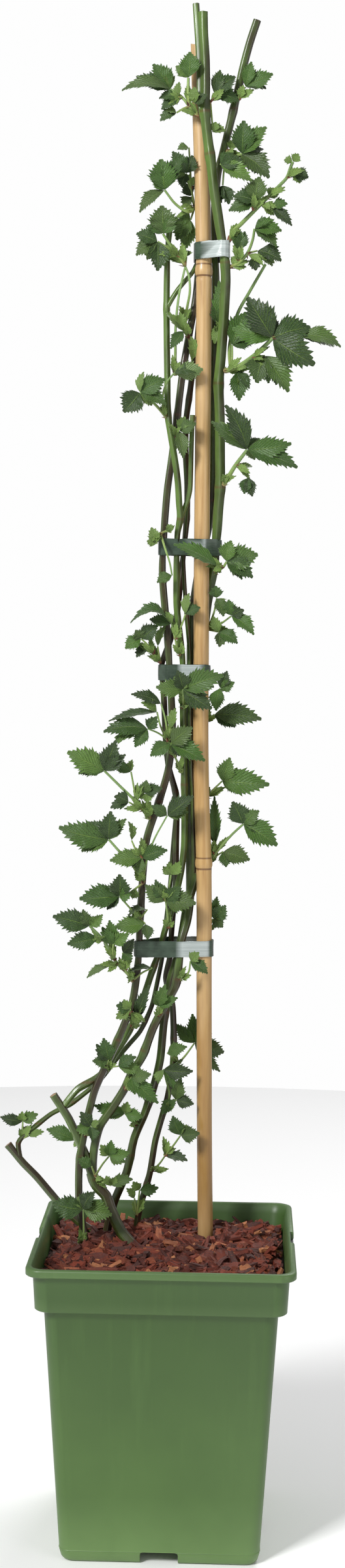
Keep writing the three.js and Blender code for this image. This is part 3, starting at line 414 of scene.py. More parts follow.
# %% Lamps and world light
def lamp(name, place_m, power, width, height):
    data = bpy.data.lights.new(name, "AREA")
    data.shape = "RECTANGLE"
    data.size = width
    data.size_y = height
    data.energy = power
    made = bpy.data.objects.new(name, data)
    bpy.context.scene.collection.objects.link(made)
    made.location = place_m
    aim = Vector((0, 0, 0.65)) - made.location
    made.rotation_euler = aim.to_track_quat("-Z", "Y").to_euler()
    return made


lamp("front_lamp", (-1.3, -1.9, 2.0), 72, 0.5, 0.7)
lamp("fill_lamp", (1.9, -1.7, 0.9), 10, 1.0, 1.6)
lamp("back_lamp", (0.7, 1.5, 2.1), 26, 1.2, 1.0)
world = bpy.data.worlds.new("studio_air")
world.use_nodes = True
air = world.node_tree
seen = node(air, "LightPath").outputs["Is Camera Ray"]
room = mix(air, seen, grey(0.40), grey(0.99))
air.links.new(room, air.nodes["Background"].inputs["Color"])
bpy.context.scene.world = world
bpy.context.scene.view_settings.view_transform = "Standard"


# %% [markdown]
# ## The pot
# The real pot is one injection moulding: a tapering square body, a wider collar, a thick lip,
# and a foot ring with a drain gap in each side. It could be cut out of a block, but a moulding
# is easier as one skin. A square outline gets round corners, then it is extruded ring by ring,
# up the outside, over the lip and down the inside, and each ring is scaled to its width.

# %% The pot's sizes, from the solid pot
pot_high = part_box("pot")[1]
RIM_HALF = pot_high.x
POT_HEIGHT = pot_high.z
LIP = 6.4 * MM
COLLAR_DEPTH = 35.4 * MM
STEP = POT_HEIGHT - COLLAR_DEPTH
COLLAR_TOP, COLLAR_BOTTOM = RIM_HALF - 5.2 * MM, RIM_HALF - 6.7 * MM
BODY_TOP, BODY_FOOT = RIM_HALF - 13.4 * MM, RIM_HALF - 26.2 * MM
WALL = 1.9 * MM
FLOOR_TOP = 12 * MM
SKIRT = 9.5 * MM
print("rim", round(2 * RIM_HALF, 3), "m, height", round(POT_HEIGHT, 4), "m")


# %% The skin of the pot
def body_half(z):
    return BODY_FOOT + (BODY_TOP - BODY_FOOT) * z / STEP


def pot_rings():
    """Half widths and heights, from the foot up the outside and down the inside."""
    outside = [
        (body_half(0) - 4.5 * MM, 0), (body_half(0) - 2.2 * MM, 0.9 * MM),
        (body_half(0) - 0.9 * MM, 2.8 * MM),
        (body_half(8 * MM), 8 * MM), (body_half(9.6 * MM), 9.6 * MM),
        (body_half(9.9 * MM) + 0.35 * MM, 9.9 * MM), (body_half(10.2 * MM), 10.2 * MM),
        (body_half(12 * MM), 12 * MM),
        (BODY_TOP, STEP - 1.2 * MM), (BODY_TOP + 1.2 * MM, STEP), (COLLAR_BOTTOM - 0.8 * MM, STEP),
        (COLLAR_BOTTOM, STEP + 0.8 * MM), (COLLAR_TOP, POT_HEIGHT - LIP - 0.6 * MM),
        (COLLAR_TOP + 0.6 * MM, POT_HEIGHT - LIP), (RIM_HALF - 0.7 * MM, POT_HEIGHT - LIP),
        (RIM_HALF, POT_HEIGHT - LIP + 0.7 * MM), (RIM_HALF, POT_HEIGHT - 1.5 * MM),
        (RIM_HALF - 0.5 * MM, POT_HEIGHT - 0.45 * MM), (RIM_HALF - 1.5 * MM, POT_HEIGHT),
    ]
    inside = [
        (RIM_HALF - 3.6 * MM, POT_HEIGHT), (RIM_HALF - 4.6 * MM, POT_HEIGHT - 0.8 * MM),
        (COLLAR_TOP - WALL, POT_HEIGHT - LIP - 1.5 * MM), (COLLAR_BOTTOM - WALL, STEP + WALL),
        (BODY_TOP - WALL, STEP + WALL - 4 * MM), (body_half(FLOOR_TOP) - WALL, FLOOR_TOP),
    ]
    return outside + inside


def resize_to(half, was):
    share = half / was
    bpy.ops.transform.resize(value=(share, share, 1), center_override=(0, 0, 0))


def round_square(name, half, z, radius, steps):
    only()
    bpy.ops.mesh.primitive_plane_add(size=2 * half, location=(0, 0, z))
    piece = named(name)
    settle(piece)
    edit(piece)
    bpy.ops.mesh.select_all(action="SELECT")
    bpy.ops.mesh.bevel(offset=radius, segments=steps, affect="VERTICES")
    return piece


rings = pot_rings()
first_half, first_z = rings[0]
pot = round_square("pot_moulding", first_half, first_z, 9 * MM, 8)
bpy.ops.mesh.select_all(action="SELECT")
bpy.ops.mesh.delete(type="ONLY_FACE")
bpy.ops.mesh.select_all(action="SELECT")
half, height = first_half, first_z
for next_half, next_z in rings[1:]:
    bpy.ops.mesh.extrude_region_move(TRANSFORM_OT_translate={"value": (0, 0, next_z - height)})
    resize_to(next_half, half)
    half, height = next_half, next_z
bpy.ops.mesh.edge_face_add()
print("skin rings:", len(rings), "faces:", len(pot.data.polygons))

# %% [markdown]
# The skin is still open at the foot. The foot ring's inner side and the underside of the floor
# close it: the first ring is extruded inwards, up under the floor, and filled.

# %% Close the underside
edit(pot)
bpy.ops.mesh.select_all(action="DESELECT")
bpy.ops.object.mode_set(mode="OBJECT")
for vertex in pot.data.vertices:
    vertex.select = vertex.co.z < 0.1 * MM
for edge in pot.data.edges:
    edge.select = all(pot.data.vertices[v].select for v in edge.vertices)
bpy.ops.object.mode_set(mode="EDIT")
foot_half = body_half(0) - WALL - 4.8 * MM
bpy.ops.mesh.extrude_region_move(TRANSFORM_OT_translate={"value": (0, 0, 0)})
resize_to(foot_half, first_half)
bpy.ops.mesh.extrude_region_move(TRANSFORM_OT_translate={"value": (0, 0, SKIRT)})
bpy.ops.mesh.edge_face_add()
bpy.ops.mesh.select_all(action="SELECT")
bpy.ops.mesh.remove_doubles(threshold=0.00001)
bpy.ops.mesh.normals_make_consistent(inside=False)
bpy.ops.object.mode_set(mode="OBJECT")
print("pot faces:", len(pot.data.polygons))

# %% [markdown]
# Drain gaps, drain holes and the two label slots are what the mould's pins leave open. Each is
# cut with a boolean, the way a drill or a saw would, by a cutter of that shape.

# %% Cutters for the gaps and holes
def block(name, size, centre, soften=0.0):
    only()
    bpy.ops.mesh.primitive_cube_add(size=1, location=centre)
    piece = named(name)
    piece.scale = size
    settle(piece)
    if soften:
        edge_round = piece.modifiers.new("round", "BEVEL")
        edge_round.width = soften
        edge_round.segments = 3
        apply_all(piece)
    return piece


def cut_away(piece, cutter):
    cut = piece.modifiers.new("cut", "BOOLEAN")
    cut.operation = "DIFFERENCE"
    cut.solver = "EXACT"
    cut.object = cutter
    apply_all(piece)
    bpy.data.objects.remove(cutter)


NOTCH = (30 * MM, 30 * MM, 20 * MM)
for side in ((0, -1), (0, 1), (-1, 0), (1, 0)):
    centre = (side[0] * body_half(0), side[1] * body_half(0), 0)
    cut_away(pot, block("notch_cutter", NOTCH, centre, 2.4 * MM))
SLOT_WALL = RIM_HALF - 2.8 * MM
SLOT_FLOOR = POT_HEIGHT - 6.0 * MM
for sx in (-1, 1):
    slot_centre = (sx * (RIM_HALF - 0.9 * MM), -0.5 * MM, POT_HEIGHT - 1.5 * MM)
    cut_away(pot, block("slot_cutter", (3.8 * MM, 31 * MM, 9 * MM), slot_centre, 0.5 * MM))
    for sy in (-1, 1):
        only()
        drain_centre = (sx * 45 * MM, sy * 45 * MM, FLOOR_TOP)
        bpy.ops.mesh.primitive_cylinder_add(vertices=24, radius=4 * MM, depth=20 * MM, location=drain_centre)
        cut_away(pot, named("drain_cutter"))
only(pot)
edge_soft = pot.modifiers.new("edge_soft", "BEVEL")
edge_soft.width = 0.25 * MM
edge_soft.segments = 2
edge_soft.limit_method = "ANGLE"
edge_soft.angle_limit = math.radians(50)
apply_all(pot)
smooth(pot, 42)
belongs(pot, "pot")
print("finished pot faces:", len(pot.data.polygons))

# %% [markdown]
# ## Pot plastic
# Nursery pots are moulded from recycled plastic: mid green, satin, a little chalky, and lighter
# where its edges are rubbed. The body is painted lighter low down and darker higher up, which is
# painted light. Fine grain gives the broken shine, and long faint streaks and a few dark scuffs
# tell that it has been used. The label slots are painted near black inside, as painted shade.

# %% Pot plastic
plastic, tree, shader = new_material("pot_plastic")
where = object_place(tree)
cloud = noise(tree, where, 14.0, 3.0)
streak = noise(tree, object_place(tree, (60, 60, 5)), 1.6, 5.0)
grain = noise(tree, where, 2600.0, 2.0)
rise = node(tree, "SeparateXYZ", Vector=where).outputs["Z"]
# Painted light: the body is painted lighter low down and darker higher up, as the light falls on it.
base = ramp(tree, maths(tree, "MULTIPLY", rise, 4.0), [
    (0.0, srgb(104, 134, 78)), (0.22, srgb(78, 108, 52)), (0.8, srgb(60, 88, 38)), (0.97, srgb(64, 92, 44)),
])
clouded = mix(tree, ramp(tree, cloud, [(0.35, grey(0)), (0.7, grey(0.28))]), base, srgb(54, 80, 36))
streaked = mix(tree, ramp(tree, streak, [(0.55, grey(0)), (0.8, grey(0.3))]), clouded, srgb(86, 116, 62))
edge_mask = node(tree, "NewGeometry").outputs["Pointiness"]
rubbed = mix(tree, ramp(tree, edge_mask, [(0.52, grey(0)), (0.6, grey(0.55))]), streaked, srgb(112, 138, 90))
scuff = noise(tree, object_place(tree, (40, 40, 90)), 2.4, 7.0, 0.7)
scuffs_and_slot_shade = mix(tree, ramp(tree, scuff, [(0.7, grey(0)), (0.78, grey(0.35))]), rubbed, srgb(58, 80, 46))
across = node(tree, "SeparateXYZ", Vector=where)
sideways = maths(tree, "ABSOLUTE", across.outputs["X"])


def close_to(value, target, reach):
    """One where a value is within reach of its target, else nothing."""
    gap = maths(tree, "ABSOLUTE", maths(tree, "SUBTRACT", value, target))
    return maths(tree, "LESS_THAN", gap, reach)


# Painted shade: the walls and floor inside the two label slots are painted near black.
slot_wall = close_to(sideways, SLOT_WALL, 0.4 * MM)
slot_floor = close_to(rise, SLOT_FLOOR, 0.4 * MM)
slot_long = close_to(across.outputs["Y"], -0.5 * MM, 15.3 * MM)
high = maths(tree, "GREATER_THAN", rise, SLOT_FLOOR - 0.5 * MM)
outer = maths(tree, "GREATER_THAN", sideways, SLOT_WALL - 0.6 * MM)
slot_shade_mask = maths(tree, "MULTIPLY", maths(tree, "MAXIMUM", slot_wall, slot_floor), slot_long)
slot_shade_mask = maths(tree, "MULTIPLY", slot_shade_mask, maths(tree, "MULTIPLY", high, outer))
scuffs_and_slot_shade = mix(tree, slot_shade_mask, scuffs_and_slot_shade, srgb(16, 20, 14))
tree.links.new(scuffs_and_slot_shade, shader.inputs["Base Color"])
tree.links.new(ramp(tree, streak, [(0.3, grey(0.36)), (0.8, grey(0.52))]), shader.inputs["Roughness"])
relief = bump(tree, grain, 0.00006, 0.35)
tree.links.new(bump(tree, cloud, 0.0016, 0.25, relief), shader.inputs["Normal"])
shader.inputs["Subsurface Weight"].default_value = 0.06
shader.inputs["Subsurface Radius"].default_value = (0.002, 0.004, 0.001)
pot.data.materials.append(plastic)
print("pot material nodes:", len(tree.nodes))

# %% [markdown]
# ## Compost and bark
# The compost shows only through the drain holes, so its solid stays and gets a crumbly dark
# material. The bark on top is loose: hundreds of shredded chips. A few chips are modelled from
# a cube, subdivided and bent out of true, then copied and dropped on the heap at random.

# %% Compost and heap materials
soil, tree, shader = new_material("compost_crumb")
crumb = noise(tree, object_place(tree), 320.0, 8.0, 0.7)
dark_soil = ramp(tree, crumb, [(0.3, srgb(18, 11, 8)), (0.7, srgb(62, 44, 32))])
tree.links.new(dark_soil, shader.inputs["Base Color"])
tree.links.new(bump(tree, crumb, 0.002), shader.inputs["Normal"])
shader.inputs["Roughness"].default_value = 0.95
frame["nodes"]["compost"].data.materials.clear()
frame["nodes"]["compost"].data.materials.append(soil)

heap, tree, shader = new_material("bark_shadow")
fibre = noise(tree, object_place(tree), 210.0, 8.0, 0.7)
gaps = ramp(tree, fibre, [(0.35, srgb(14, 7, 5)), (0.75, srgb(66, 30, 22))])
tree.links.new(gaps, shader.inputs["Base Color"])
tree.links.new(bump(tree, fibre, 0.003), shader.inputs["Normal"])
shader.inputs["Roughness"].default_value = 0.9
frame["nodes"]["bark_mulch"].data.materials.clear()
frame["nodes"]["bark_mulch"].data.materials.append(heap)
print("materials:", soil.name, heap.name)


# %% Chip shapes
def chip_shape(name, length, width, thickness, seed):
    only()
    bpy.ops.mesh.primitive_cube_add(size=1)
    chip = named(name)
    chip.scale = (length, width, thickness)
    settle(chip)
    edit(chip)
    bpy.ops.mesh.select_all(action="SELECT")
    bpy.ops.mesh.subdivide(number_cuts=1)
    bpy.ops.object.mode_set(mode="OBJECT")
    dice = random.Random(seed)
    points = points_of(chip)
    bow = dice.uniform(-0.12, 0.12)
    for p in points:
        share = p[0] / length
        p[1] *= 1 - 0.9 * abs(share) * dice.uniform(0.3, 1)
        p[2] += bow * length * (0.25 - share * share) + dice.uniform(-0.2, 0.2) * thickness
        p[0] += dice.uniform(-0.06, 0.06) * length
        p[1] += dice.uniform(-0.12, 0.12) * width + 0.15 * length * share * bow
    set_points(chip, points)
    return chip


chip_shapes = [
    chip_shape("chip_broad", 14 * MM, 5.5 * MM, 3.8 * MM, 1),
    chip_shape("chip_long", 25 * MM, 4.5 * MM, 3.0 * MM, 2),
    chip_shape("chip_short", 10 * MM, 6 * MM, 4.2 * MM, 3),
    chip_shape("chip_strand", 28 * MM, 2.4 * MM, 1.8 * MM, 4),
    chip_shape("chip_block", 13 * MM, 7.5 * MM, 5.0 * MM, 5),
]
print("faces in a chip:", [len(c.data.polygons) for c in chip_shapes])

# %% [markdown]
# Each chip lies at the heap's own height, tipped by chance, with its own colour number. Where a
# cane or the bamboo stands, no chip is dropped. The chips are three pieces, dropped in turn.

# %% Scatter the chips
bark_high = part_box("bark_mulch")[1]
BARK_HALF = bark_high.x


def heap_height(x, y):
    """The heap is flat in the middle and falls towards the wall."""
    edge, crown = bark_high.z - 7 * MM, bark_high.z
    far = max(abs(x), abs(y)) / BARK_HALF
    if far < 0.35:
        return crown
    if far < 0.7:
        return crown - (far - 0.35) / 0.35 * 0.25 * (crown - edge)
    return crown - (0.25 + (far - 0.7) / 0.3 * 0.75) * (crown - edge)


def foot_places():
    routes = [(branches[0][0], branches[0][1]) for branches in CANES.values() if branches[0][2]]
    found = [(place(points[0]).xy, radius * MM) for radius, points in routes]
    low, high = place(BAMBOO[1]), place(BAMBOO[2])
    share = (bark_high.z - low.z) / (high.z - low.z)
    return found + [((low + (high - low) * share).xy, 6.4 * MM)]


def chip_meshes(count, seed):
    """Points, faces and colour numbers of many chips, laid on the heap."""
    dice = random.Random(seed)
    feet = foot_places()
    points, faces, tones = [], [], []
    for _ in range(count):
        shape = dice.choice(chip_shapes)
        x, y = (dice.uniform(-BARK_HALF + 5 * MM, BARK_HALF - 5 * MM) for _ in range(2))
        if any((Vector((x, y)) - foot).length < radius + 5 * MM for foot, radius in feet):
            continue
        size = dice.uniform(0.65, 1.25)
        turn = dice.uniform(0, 2 * math.pi)
        room = BARK_HALF - max(abs(x), abs(y))
        if room < 0.5 * size * 14 * MM:
            turn = dice.gauss(0, 0.2) + (0 if abs(y) > abs(x) else math.pi / 2)
        tilt = Matrix.Rotation(dice.gauss(0, 0.6), 3, "X") @ Matrix.Rotation(dice.gauss(0, 0.34), 3, "Y")
        pose = np.array(Matrix.Rotation(turn, 3, "Z") @ tilt) * size
        hollows = 1.5 * math.sin(x * 90) * math.sin(y * 70 + 1)
        lift = heap_height(x, y) + (dice.uniform(-1.5, 3.6) + hollows) * MM
        corners = points_of(shape) @ pose.T + np.array([x, y, lift])
        limit = BARK_HALF - 0.6 * MM
        corners[:, :2] = np.clip(corners[:, :2], -limit, limit)
        start = sum(len(p) for p in points)
        points.append(corners)
        faces += [[start + v for v in polygon.vertices] for polygon in shape.data.polygons]
        tones.append(np.full(len(corners), dice.random()))
    return np.concatenate(points), faces, np.concatenate(tones)


def chip_piece(name, count, seed):
    points, faces, tones = chip_meshes(count, seed)
    data = bpy.data.meshes.new(name)
    data.from_pydata(points.tolist(), [], faces)
    piece = bpy.data.objects.new(name, data)
    bpy.context.scene.collection.objects.link(piece)
    mark(piece, "tone", tones)
    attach(piece, "root")
    return piece


CHIPS_DROPPED = 600
FIRST_SEED = 11
chips = [
    chip_piece("bark_chips_" + layer, CHIPS_DROPPED, seed)
    for seed, layer in enumerate(("under", "over", "top"), FIRST_SEED)
]
print("chips:", [len(c.data.polygons) for c in chips])

# %% Bark material
bark, tree, shader = new_material("bark_chip")
tone = attribute(tree, "tone")
where = object_place(tree)
fibre = noise(tree, object_place(tree, (1, 1, 3)), 420.0, 6.0, 0.7)
patch = noise(tree, where, 90.0, 3.0)
family = ramp(tree, tone, [
    (0.0, srgb(54, 20, 13)), (0.3, srgb(88, 34, 21)), (0.55, srgb(122, 50, 29)), (0.75, srgb(70, 27, 18)),
    (0.9, srgb(140, 68, 40)), (0.985, srgb(176, 116, 74)),
])
worn = mix(tree, ramp(tree, patch, [(0.45, grey(0)), (0.75, grey(0.5))]), family, srgb(40, 18, 13))
flecked = mix(tree, ramp(tree, fibre, [(0.5, grey(0)), (0.75, grey(0.5))]), worn, srgb(142, 72, 46))
tree.links.new(flecked, shader.inputs["Base Color"])
tree.links.new(ramp(tree, fibre, [(0.3, grey(0.55)), (0.7, grey(0.85))]), shader.inputs["Roughness"])
tree.links.new(bump(tree, fibre, 0.0012, 0.9), shader.inputs["Normal"])
for piece in chips:
    piece.data.materials.append(bark)
for shape in chip_shapes:
    bpy.data.objects.remove(shape)
print("bark is on", len(chips), "pieces")

# %% [markdown]
# ## Sweeping a stem
# Bamboo, canes and leaf stalks are all a section carried along a route. In Blender that is a
# curve with a bevel object: the route is the curve, the section is a second, flat curve, and
# each point's radius swells or thins it. A curve stays easy to change, and it is turned into a
# mesh at the end. The route first gets more points, on a smooth line through the given ones.

# %% Smooth route through the given points
def smooth_route(points, step, ease=1.0):
    """Points about a step apart on a centripetal Catmull-Rom curve. A lower ease gives tighter bends."""
    placed = [Vector(p) for p in points]
    ends = [placed[0] * 2 - placed[1], *placed, placed[-1] * 2 - placed[-2]]
    route = []
    for p0, p1, p2, p3 in zip(ends, ends[1:], ends[2:], ends[3:]):
        k1, k2, k3 = (max((b - a).length, 1e-6) ** 0.5 for a, b in ((p0, p1), (p1, p2), (p2, p3)))
        m1 = (p1 - p0) / k1 - (p2 - p0) / (k1 + k2) + (p2 - p1) / k2
        m2 = (p2 - p1) / k2 - (p3 - p1) / (k2 + k3) + (p3 - p2) / k3
        start, leave, arrive = p1, m1 * k2 * ease, m2 * k2 * ease
        count = max(1, round((p2 - p1).length / step))
        for i in range(count):
            t = i / count
            a, b = 2 * t**3 - 3 * t**2 + 1, t**3 - 2 * t**2 + t
            c, d = 3 * t**2 - 2 * t**3, t**3 - t**2
            route.append(start * a + leave * b + p2 * c + arrive * d)
    route.append(placed[-1])
    return route


def lengths_along(route):
    steps = [0.0] + [(b - a).length for a, b in zip(route, route[1:])]
    return np.cumsum(steps)


def section(name, ridges, depth, points):
    """A flat closed curve of radius one, with that many ridges round it."""
    data = bpy.data.curves.new(name, "CURVE")
    data.dimensions = "2D"
    spline = data.splines.new("POLY")
    spline.points.add(points - 1)
    for i, point in enumerate(spline.points):
        angle = 2 * math.pi * i / points
        reach = 1 + depth * (math.cos(ridges * angle) - 1)
        point.co = (reach * math.cos(angle), reach * math.sin(angle), 0, 1)
    spline.use_cyclic_u = True
    made = bpy.data.objects.new(name, data)
    bpy.context.scene.collection.objects.link(made)
    return made


SECTIONS = {
    "cane": section("cane_section", 5, 0.075, 20),
    "bamboo": section("bamboo_section", 1, 0.0, 28),
    "stalk": section("stalk_section", 3, 0.06, 9),
}


def stem(name, route, radii, kind):
    """A closed mesh swept along route, with the distance along it and the height of its ridges."""
    data = bpy.data.curves.new(name, "CURVE")
    data.dimensions = "3D"
    data.bevel_mode = "OBJECT"
    data.bevel_object = SECTIONS[kind]
    data.use_fill_caps = True
    spline = data.splines.new("POLY")
    spline.points.add(len(route) - 1)
    for point, spot, radius in zip(spline.points, route, radii):
        point.co = (*spot, 1)
        point.radius = radius
    made = bpy.data.objects.new(name, data)
    bpy.context.scene.collection.objects.link(made)
    only(made)
    bpy.ops.object.convert(target="MESH")
    piece = named(name)
    edit(piece)
    bpy.ops.mesh.select_all(action="SELECT")
    bpy.ops.mesh.remove_doubles(threshold=0.000002)
    bpy.ops.mesh.normals_make_consistent(inside=False)
    bpy.ops.object.mode_set(mode="OBJECT")
    spots = np.array(route)
    gaps = points_of(piece)[:, None, :] - spots[None, :, :]
    nearest = np.linalg.norm(gaps, axis=2).argmin(axis=1)
    reach = np.linalg.norm(gaps[np.arange(len(nearest)), nearest], axis=1)
    mark(piece, "along", lengths_along(route)[nearest])
    mark(piece, "ridge", np.clip((reach / np.array(radii)[nearest] - 0.85) / 0.15, 0, 1))
    return piece


trial = smooth_route([place(p) for p in BAMBOO], 6 * MM)
print("bamboo route:", len(trial), "points,", round(lengths_along(trial)[-1], 3), "m long")

# %% [markdown]
# ## The bamboo cane
# Bamboo is a straight tube with a ring at every joint. Each ring is a small swelling with a
# groove above it. The top was cut off with a slanting cut, which is a bisect with a filled
# face, and the cut shows the hollow: an inset pushed downwards.

# %% Bamboo
BAMBOO_RADIUS = 6.4 * MM
BAMBOO_RINGS = (0.5435, 1.0185)
bamboo_route = smooth_route([place(p) for p in BAMBOO], 2.2 * MM)


def bamboo_radius(z):
    swell = 0.0
    for ring in BAMBOO_RINGS:
        away = (z - ring) / MM
        swell += 0.14 * math.exp(-((away / 4.5) ** 2)) - 0.10 * math.exp(-(((away + 4.0) / 0.9) ** 2))
        swell -= 0.05 * math.exp(-(((away - 5.0) / 0.8) ** 2))
    taper = 1.0 - 0.03 * (z - 0.2)
    return BAMBOO_RADIUS * (taper + swell)


bamboo = stem("bamboo_cane_shown", bamboo_route, [bamboo_radius(p.z) for p in bamboo_route], "bamboo")
top = bamboo_route[-1]
edit(bamboo)
bpy.ops.mesh.select_all(action="SELECT")
cut_at = top - Vector((0, 0, 2.5 * MM))
bpy.ops.mesh.bisect(plane_co=cut_at, plane_no=(0.38, -0.1, 0.92), use_fill=True, clear_outer=True)
bpy.ops.mesh.select_all(action="DESELECT")
bpy.ops.object.mode_set(mode="OBJECT")
for face in bamboo.data.polygons:
    face.select = face.normal.z > 0.7 and face.center.z > top.z - 8 * MM
edit(bamboo, "FACE")
bpy.ops.mesh.inset(thickness=3.6 * MM)
bpy.ops.mesh.extrude_region_move(TRANSFORM_OT_translate={"value": (0, 0, -16 * MM)})
bpy.ops.object.mode_set(mode="OBJECT")
smooth(bamboo, 40)
belongs(bamboo, "bamboo_cane")
print("bamboo faces:", len(bamboo.data.polygons))

# %% Bamboo material
reed, tree, shader = new_material("bamboo_skin")
where = object_place(tree)
height = node(tree, "SeparateXYZ", Vector=where).outputs["Z"]
grain = noise(tree, object_place(tree, (420, 420, 9)), 1.0, 5.0)
band = noise(tree, object_place(tree, (30, 30, 7)), 1.0, 4.0)
base = ramp(tree, maths(tree, "SUBTRACT", height, 0.2), [
    (0.0, srgb(156, 118, 62)), (0.12, srgb(164, 128, 72)),
    (0.3, srgb(186, 150, 96)), (0.95, srgb(196, 164, 116)),
])
grained = mix(tree, ramp(tree, grain, [(0.4, grey(0)), (0.75, grey(0.5))]), base, srgb(132, 88, 42))
clouded = mix(tree, ramp(tree, band, [(0.5, grey(0)), (0.75, grey(0.4))]), grained, srgb(214, 186, 142))
ring_mask = grey(0)
for ring, offset in [(ring, offset) for offset in (-4.0, 5.0) for ring in BAMBOO_RINGS]:
    away = maths(tree, "ABSOLUTE", maths(tree, "SUBTRACT", height, ring + offset * MM))
    solid_to = 0.5 if offset < 0 else 0.2
    line = ramp(tree, maths(tree, "MULTIPLY", away, 1000.0), [(solid_to, grey(0.8)), (1.0, grey(0))])
    ring_mask = line if ring_mask == grey(0) else mix(tree, 1.0, ring_mask, line, "LIGHTEN")
ringed = mix(tree, ring_mask, clouded, srgb(92, 58, 32))
spots = node(tree, "TexVoronoi", Vector=object_place(tree, (1, 1, 0.6)), Scale=55.0).outputs["Distance"]
spotted = mix(tree, ramp(tree, spots, [(0.03, grey(0.7)), (0.06, grey(0))]), ringed, srgb(96, 58, 28))
tree.links.new(spotted, shader.inputs["Base Color"])
tree.links.new(ramp(tree, band, [(0.3, grey(0.3)), (0.75, grey(0.48))]), shader.inputs["Roughness"])
tree.links.new(bump(tree, grain, 0.0003, 0.5), shader.inputs["Normal"])
shader.inputs["Coat Weight"].default_value = 0.15
bamboo.data.materials.append(reed)
print("bamboo material nodes:", len(tree.nodes))

# %% [markdown]
# ## The canes
# A bramble cane isn't round: five blunt ridges run up it, with grooves between. It thickens at
# each node, where a bud sat, and it thins towards its tip. The section gives the ridges, the
# radii give the nodes. A branch starts inside its parent, where the two are joined.

# %% Canes
CANE_NODES = {
    "cane_left": (300, 397, 505, 594, 700, 808, 905),
    "cane_middle": (281, 388, 447, 560, 690, 838, 950, 1040, 1142),
    "cane_right": (330, 430, 545, 680, 765, 848, 930, 1023, 1105, 1137),
    "cane_cut": (294, 342, 417, 512, 628, 745),
    "cane_dark": (270, 337, 395, 470, 602, 700, 825, 920),
    "cane_green": (361, 404, 457, 608, 700, 822, 903, 989),
    "cane_low_left": (301, 320, 340, 409, 475),
}
GREENNESS = {
    "cane_left": 0.35, "cane_middle": 0.55, "cane_right": 0.8, "cane_cut": 0.5,
    "cane_dark": 0.3, "cane_green": 0.9, "cane_low_left": 0.6,
}
COMPOST_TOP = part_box("compost")[1].z
FULLER = 0.2
TIE_REACH = 12 * MM
TIE_NAMES = ("tie_1_low", "tie_2_middle", "tie_3_upper", "tie_4_top")
TIE_HEIGHTS = [sum(corner.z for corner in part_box(tie)) / 2 for tie in TIE_NAMES]
# The way the painted shade side of each cane faces: right and a little up, away from the front lamp.
SHADE_SIDE_DIRECTION = (0.8, 0.0, 0.35)


def fuller(z):
    """A factor on a cane's radius: one at a tie, so that the cane stays inside the tape, and up to
    1 + FULLER away from the ties, before the node swellings and the taper."""
    nearest = min(abs(z - tie) for tie in TIE_HEIGHTS)
    return 1 + FULLER * (1 - math.exp(-((nearest / TIE_REACH) ** 2)))


def cane_radii(route, radius, nodes, taper):
    total = lengths_along(route)
    found = []
    for spot, run in zip(route, total):
        swell = sum(0.13 * math.exp(-(((spot.z - z * MM) / (4 * MM)) ** 2)) for z in nodes)
        found.append(radius * MM * (1.03 + swell - taper * run / total[-1]) * fuller(spot.z))
    return found


def pale_cut(part, route, radius):
    """Insets the end face of a branch, so that the cut wood can be paler than the bark round it."""
    end, way = route[-1], (route[-1] - route[-2]).normalized()
    edit(part, "FACE")
    bpy.ops.mesh.select_all(action="DESELECT")
    bpy.ops.object.mode_set(mode="OBJECT")
    for face in part.data.polygons:
        face.select = (face.center - end).length < radius and face.normal.dot(way) > 0.9
    edit(part, "FACE")
    bpy.ops.mesh.inset(thickness=0.18 * radius)
    bpy.ops.object.mode_set(mode="OBJECT")
    wood = np.zeros(len(part.data.vertices))
    for face in part.data.polygons:
        if face.select:
            wood[list(face.vertices)] = 1
    mark(part, "cut_wood", wood)


def cane(name, branches):
    parts = []
    for i, (radius, points, rooted) in enumerate(branches):
        spots = [place(p) for p in points]
        if rooted:
            spots.insert(0, Vector((spots[0].x, spots[0].y, COMPOST_TOP + 1 * MM)))
        route = smooth_route(spots, 3.2 * MM, 0.75)
        radii = cane_radii(route, radius, CANE_NODES[name], 0.12)
        part = stem(f"{name}_branch_{i}", route, radii, "cane")
        pale_cut(part, route, radii[-1])
        near_node = np.zeros(len(part.data.vertices))
        height = points_of(part)[:, 2]
        for z in CANE_NODES[name]:
            near_node = np.maximum(near_node, np.exp(-(((height - (z + 1) * MM) / (1.8 * MM)) ** 2)))
        mark(part, "node_ring", near_node)
        mark(part, "green", GREENNESS[name])
        # Painted shade: each vertex records how far it faces right and up, and that side is painted darker
        # purple-brown.
        normals = np.empty(len(part.data.vertices) * 3)
        part.data.vertices.foreach_get("normal", normals)
        mark(part, "painted_shade_side", 0.5 + 0.5 * normals.reshape(-1, 3) @ np.array(SHADE_SIDE_DIRECTION))
        parts.append(part)
    piece = join(name + "_shown", parts)
    smooth(piece, 60)
    belongs(piece, name)
    return piece


canes = {name: cane(name, branches) for name, branches in CANES.items()}
print("cane faces:", {name: len(c.data.polygons) for name, c in canes.items()})

# %% [markdown]
# ## Cane bark
# Young bramble bark is olive green. The side that faces right and a little up, away from the
# front lamp, is painted purple-brown as painted shade, and the ridges are painted paler than the
# grooves as a painted highlight. Red-brown rings mark the nodes, and cut ends show pale wood. The
# colours come from the numbers that were written on each vertex.

# %% Cane bark material
rind, tree, shader = new_material("cane_rind")
where = object_place(tree)
along_noise = noise(tree, object_place(tree, (150, 150, 16)), 1.0, 5.0)
cloud = noise(tree, where, 30.0, 3.0)
green = attribute(tree, "green")
ridge = attribute(tree, "ridge")
ring = attribute(tree, "node_ring")
patchy = maths(tree, "ADD", green, maths(tree, "MULTIPLY", maths(tree, "SUBTRACT", cloud, 0.5), 1.5))
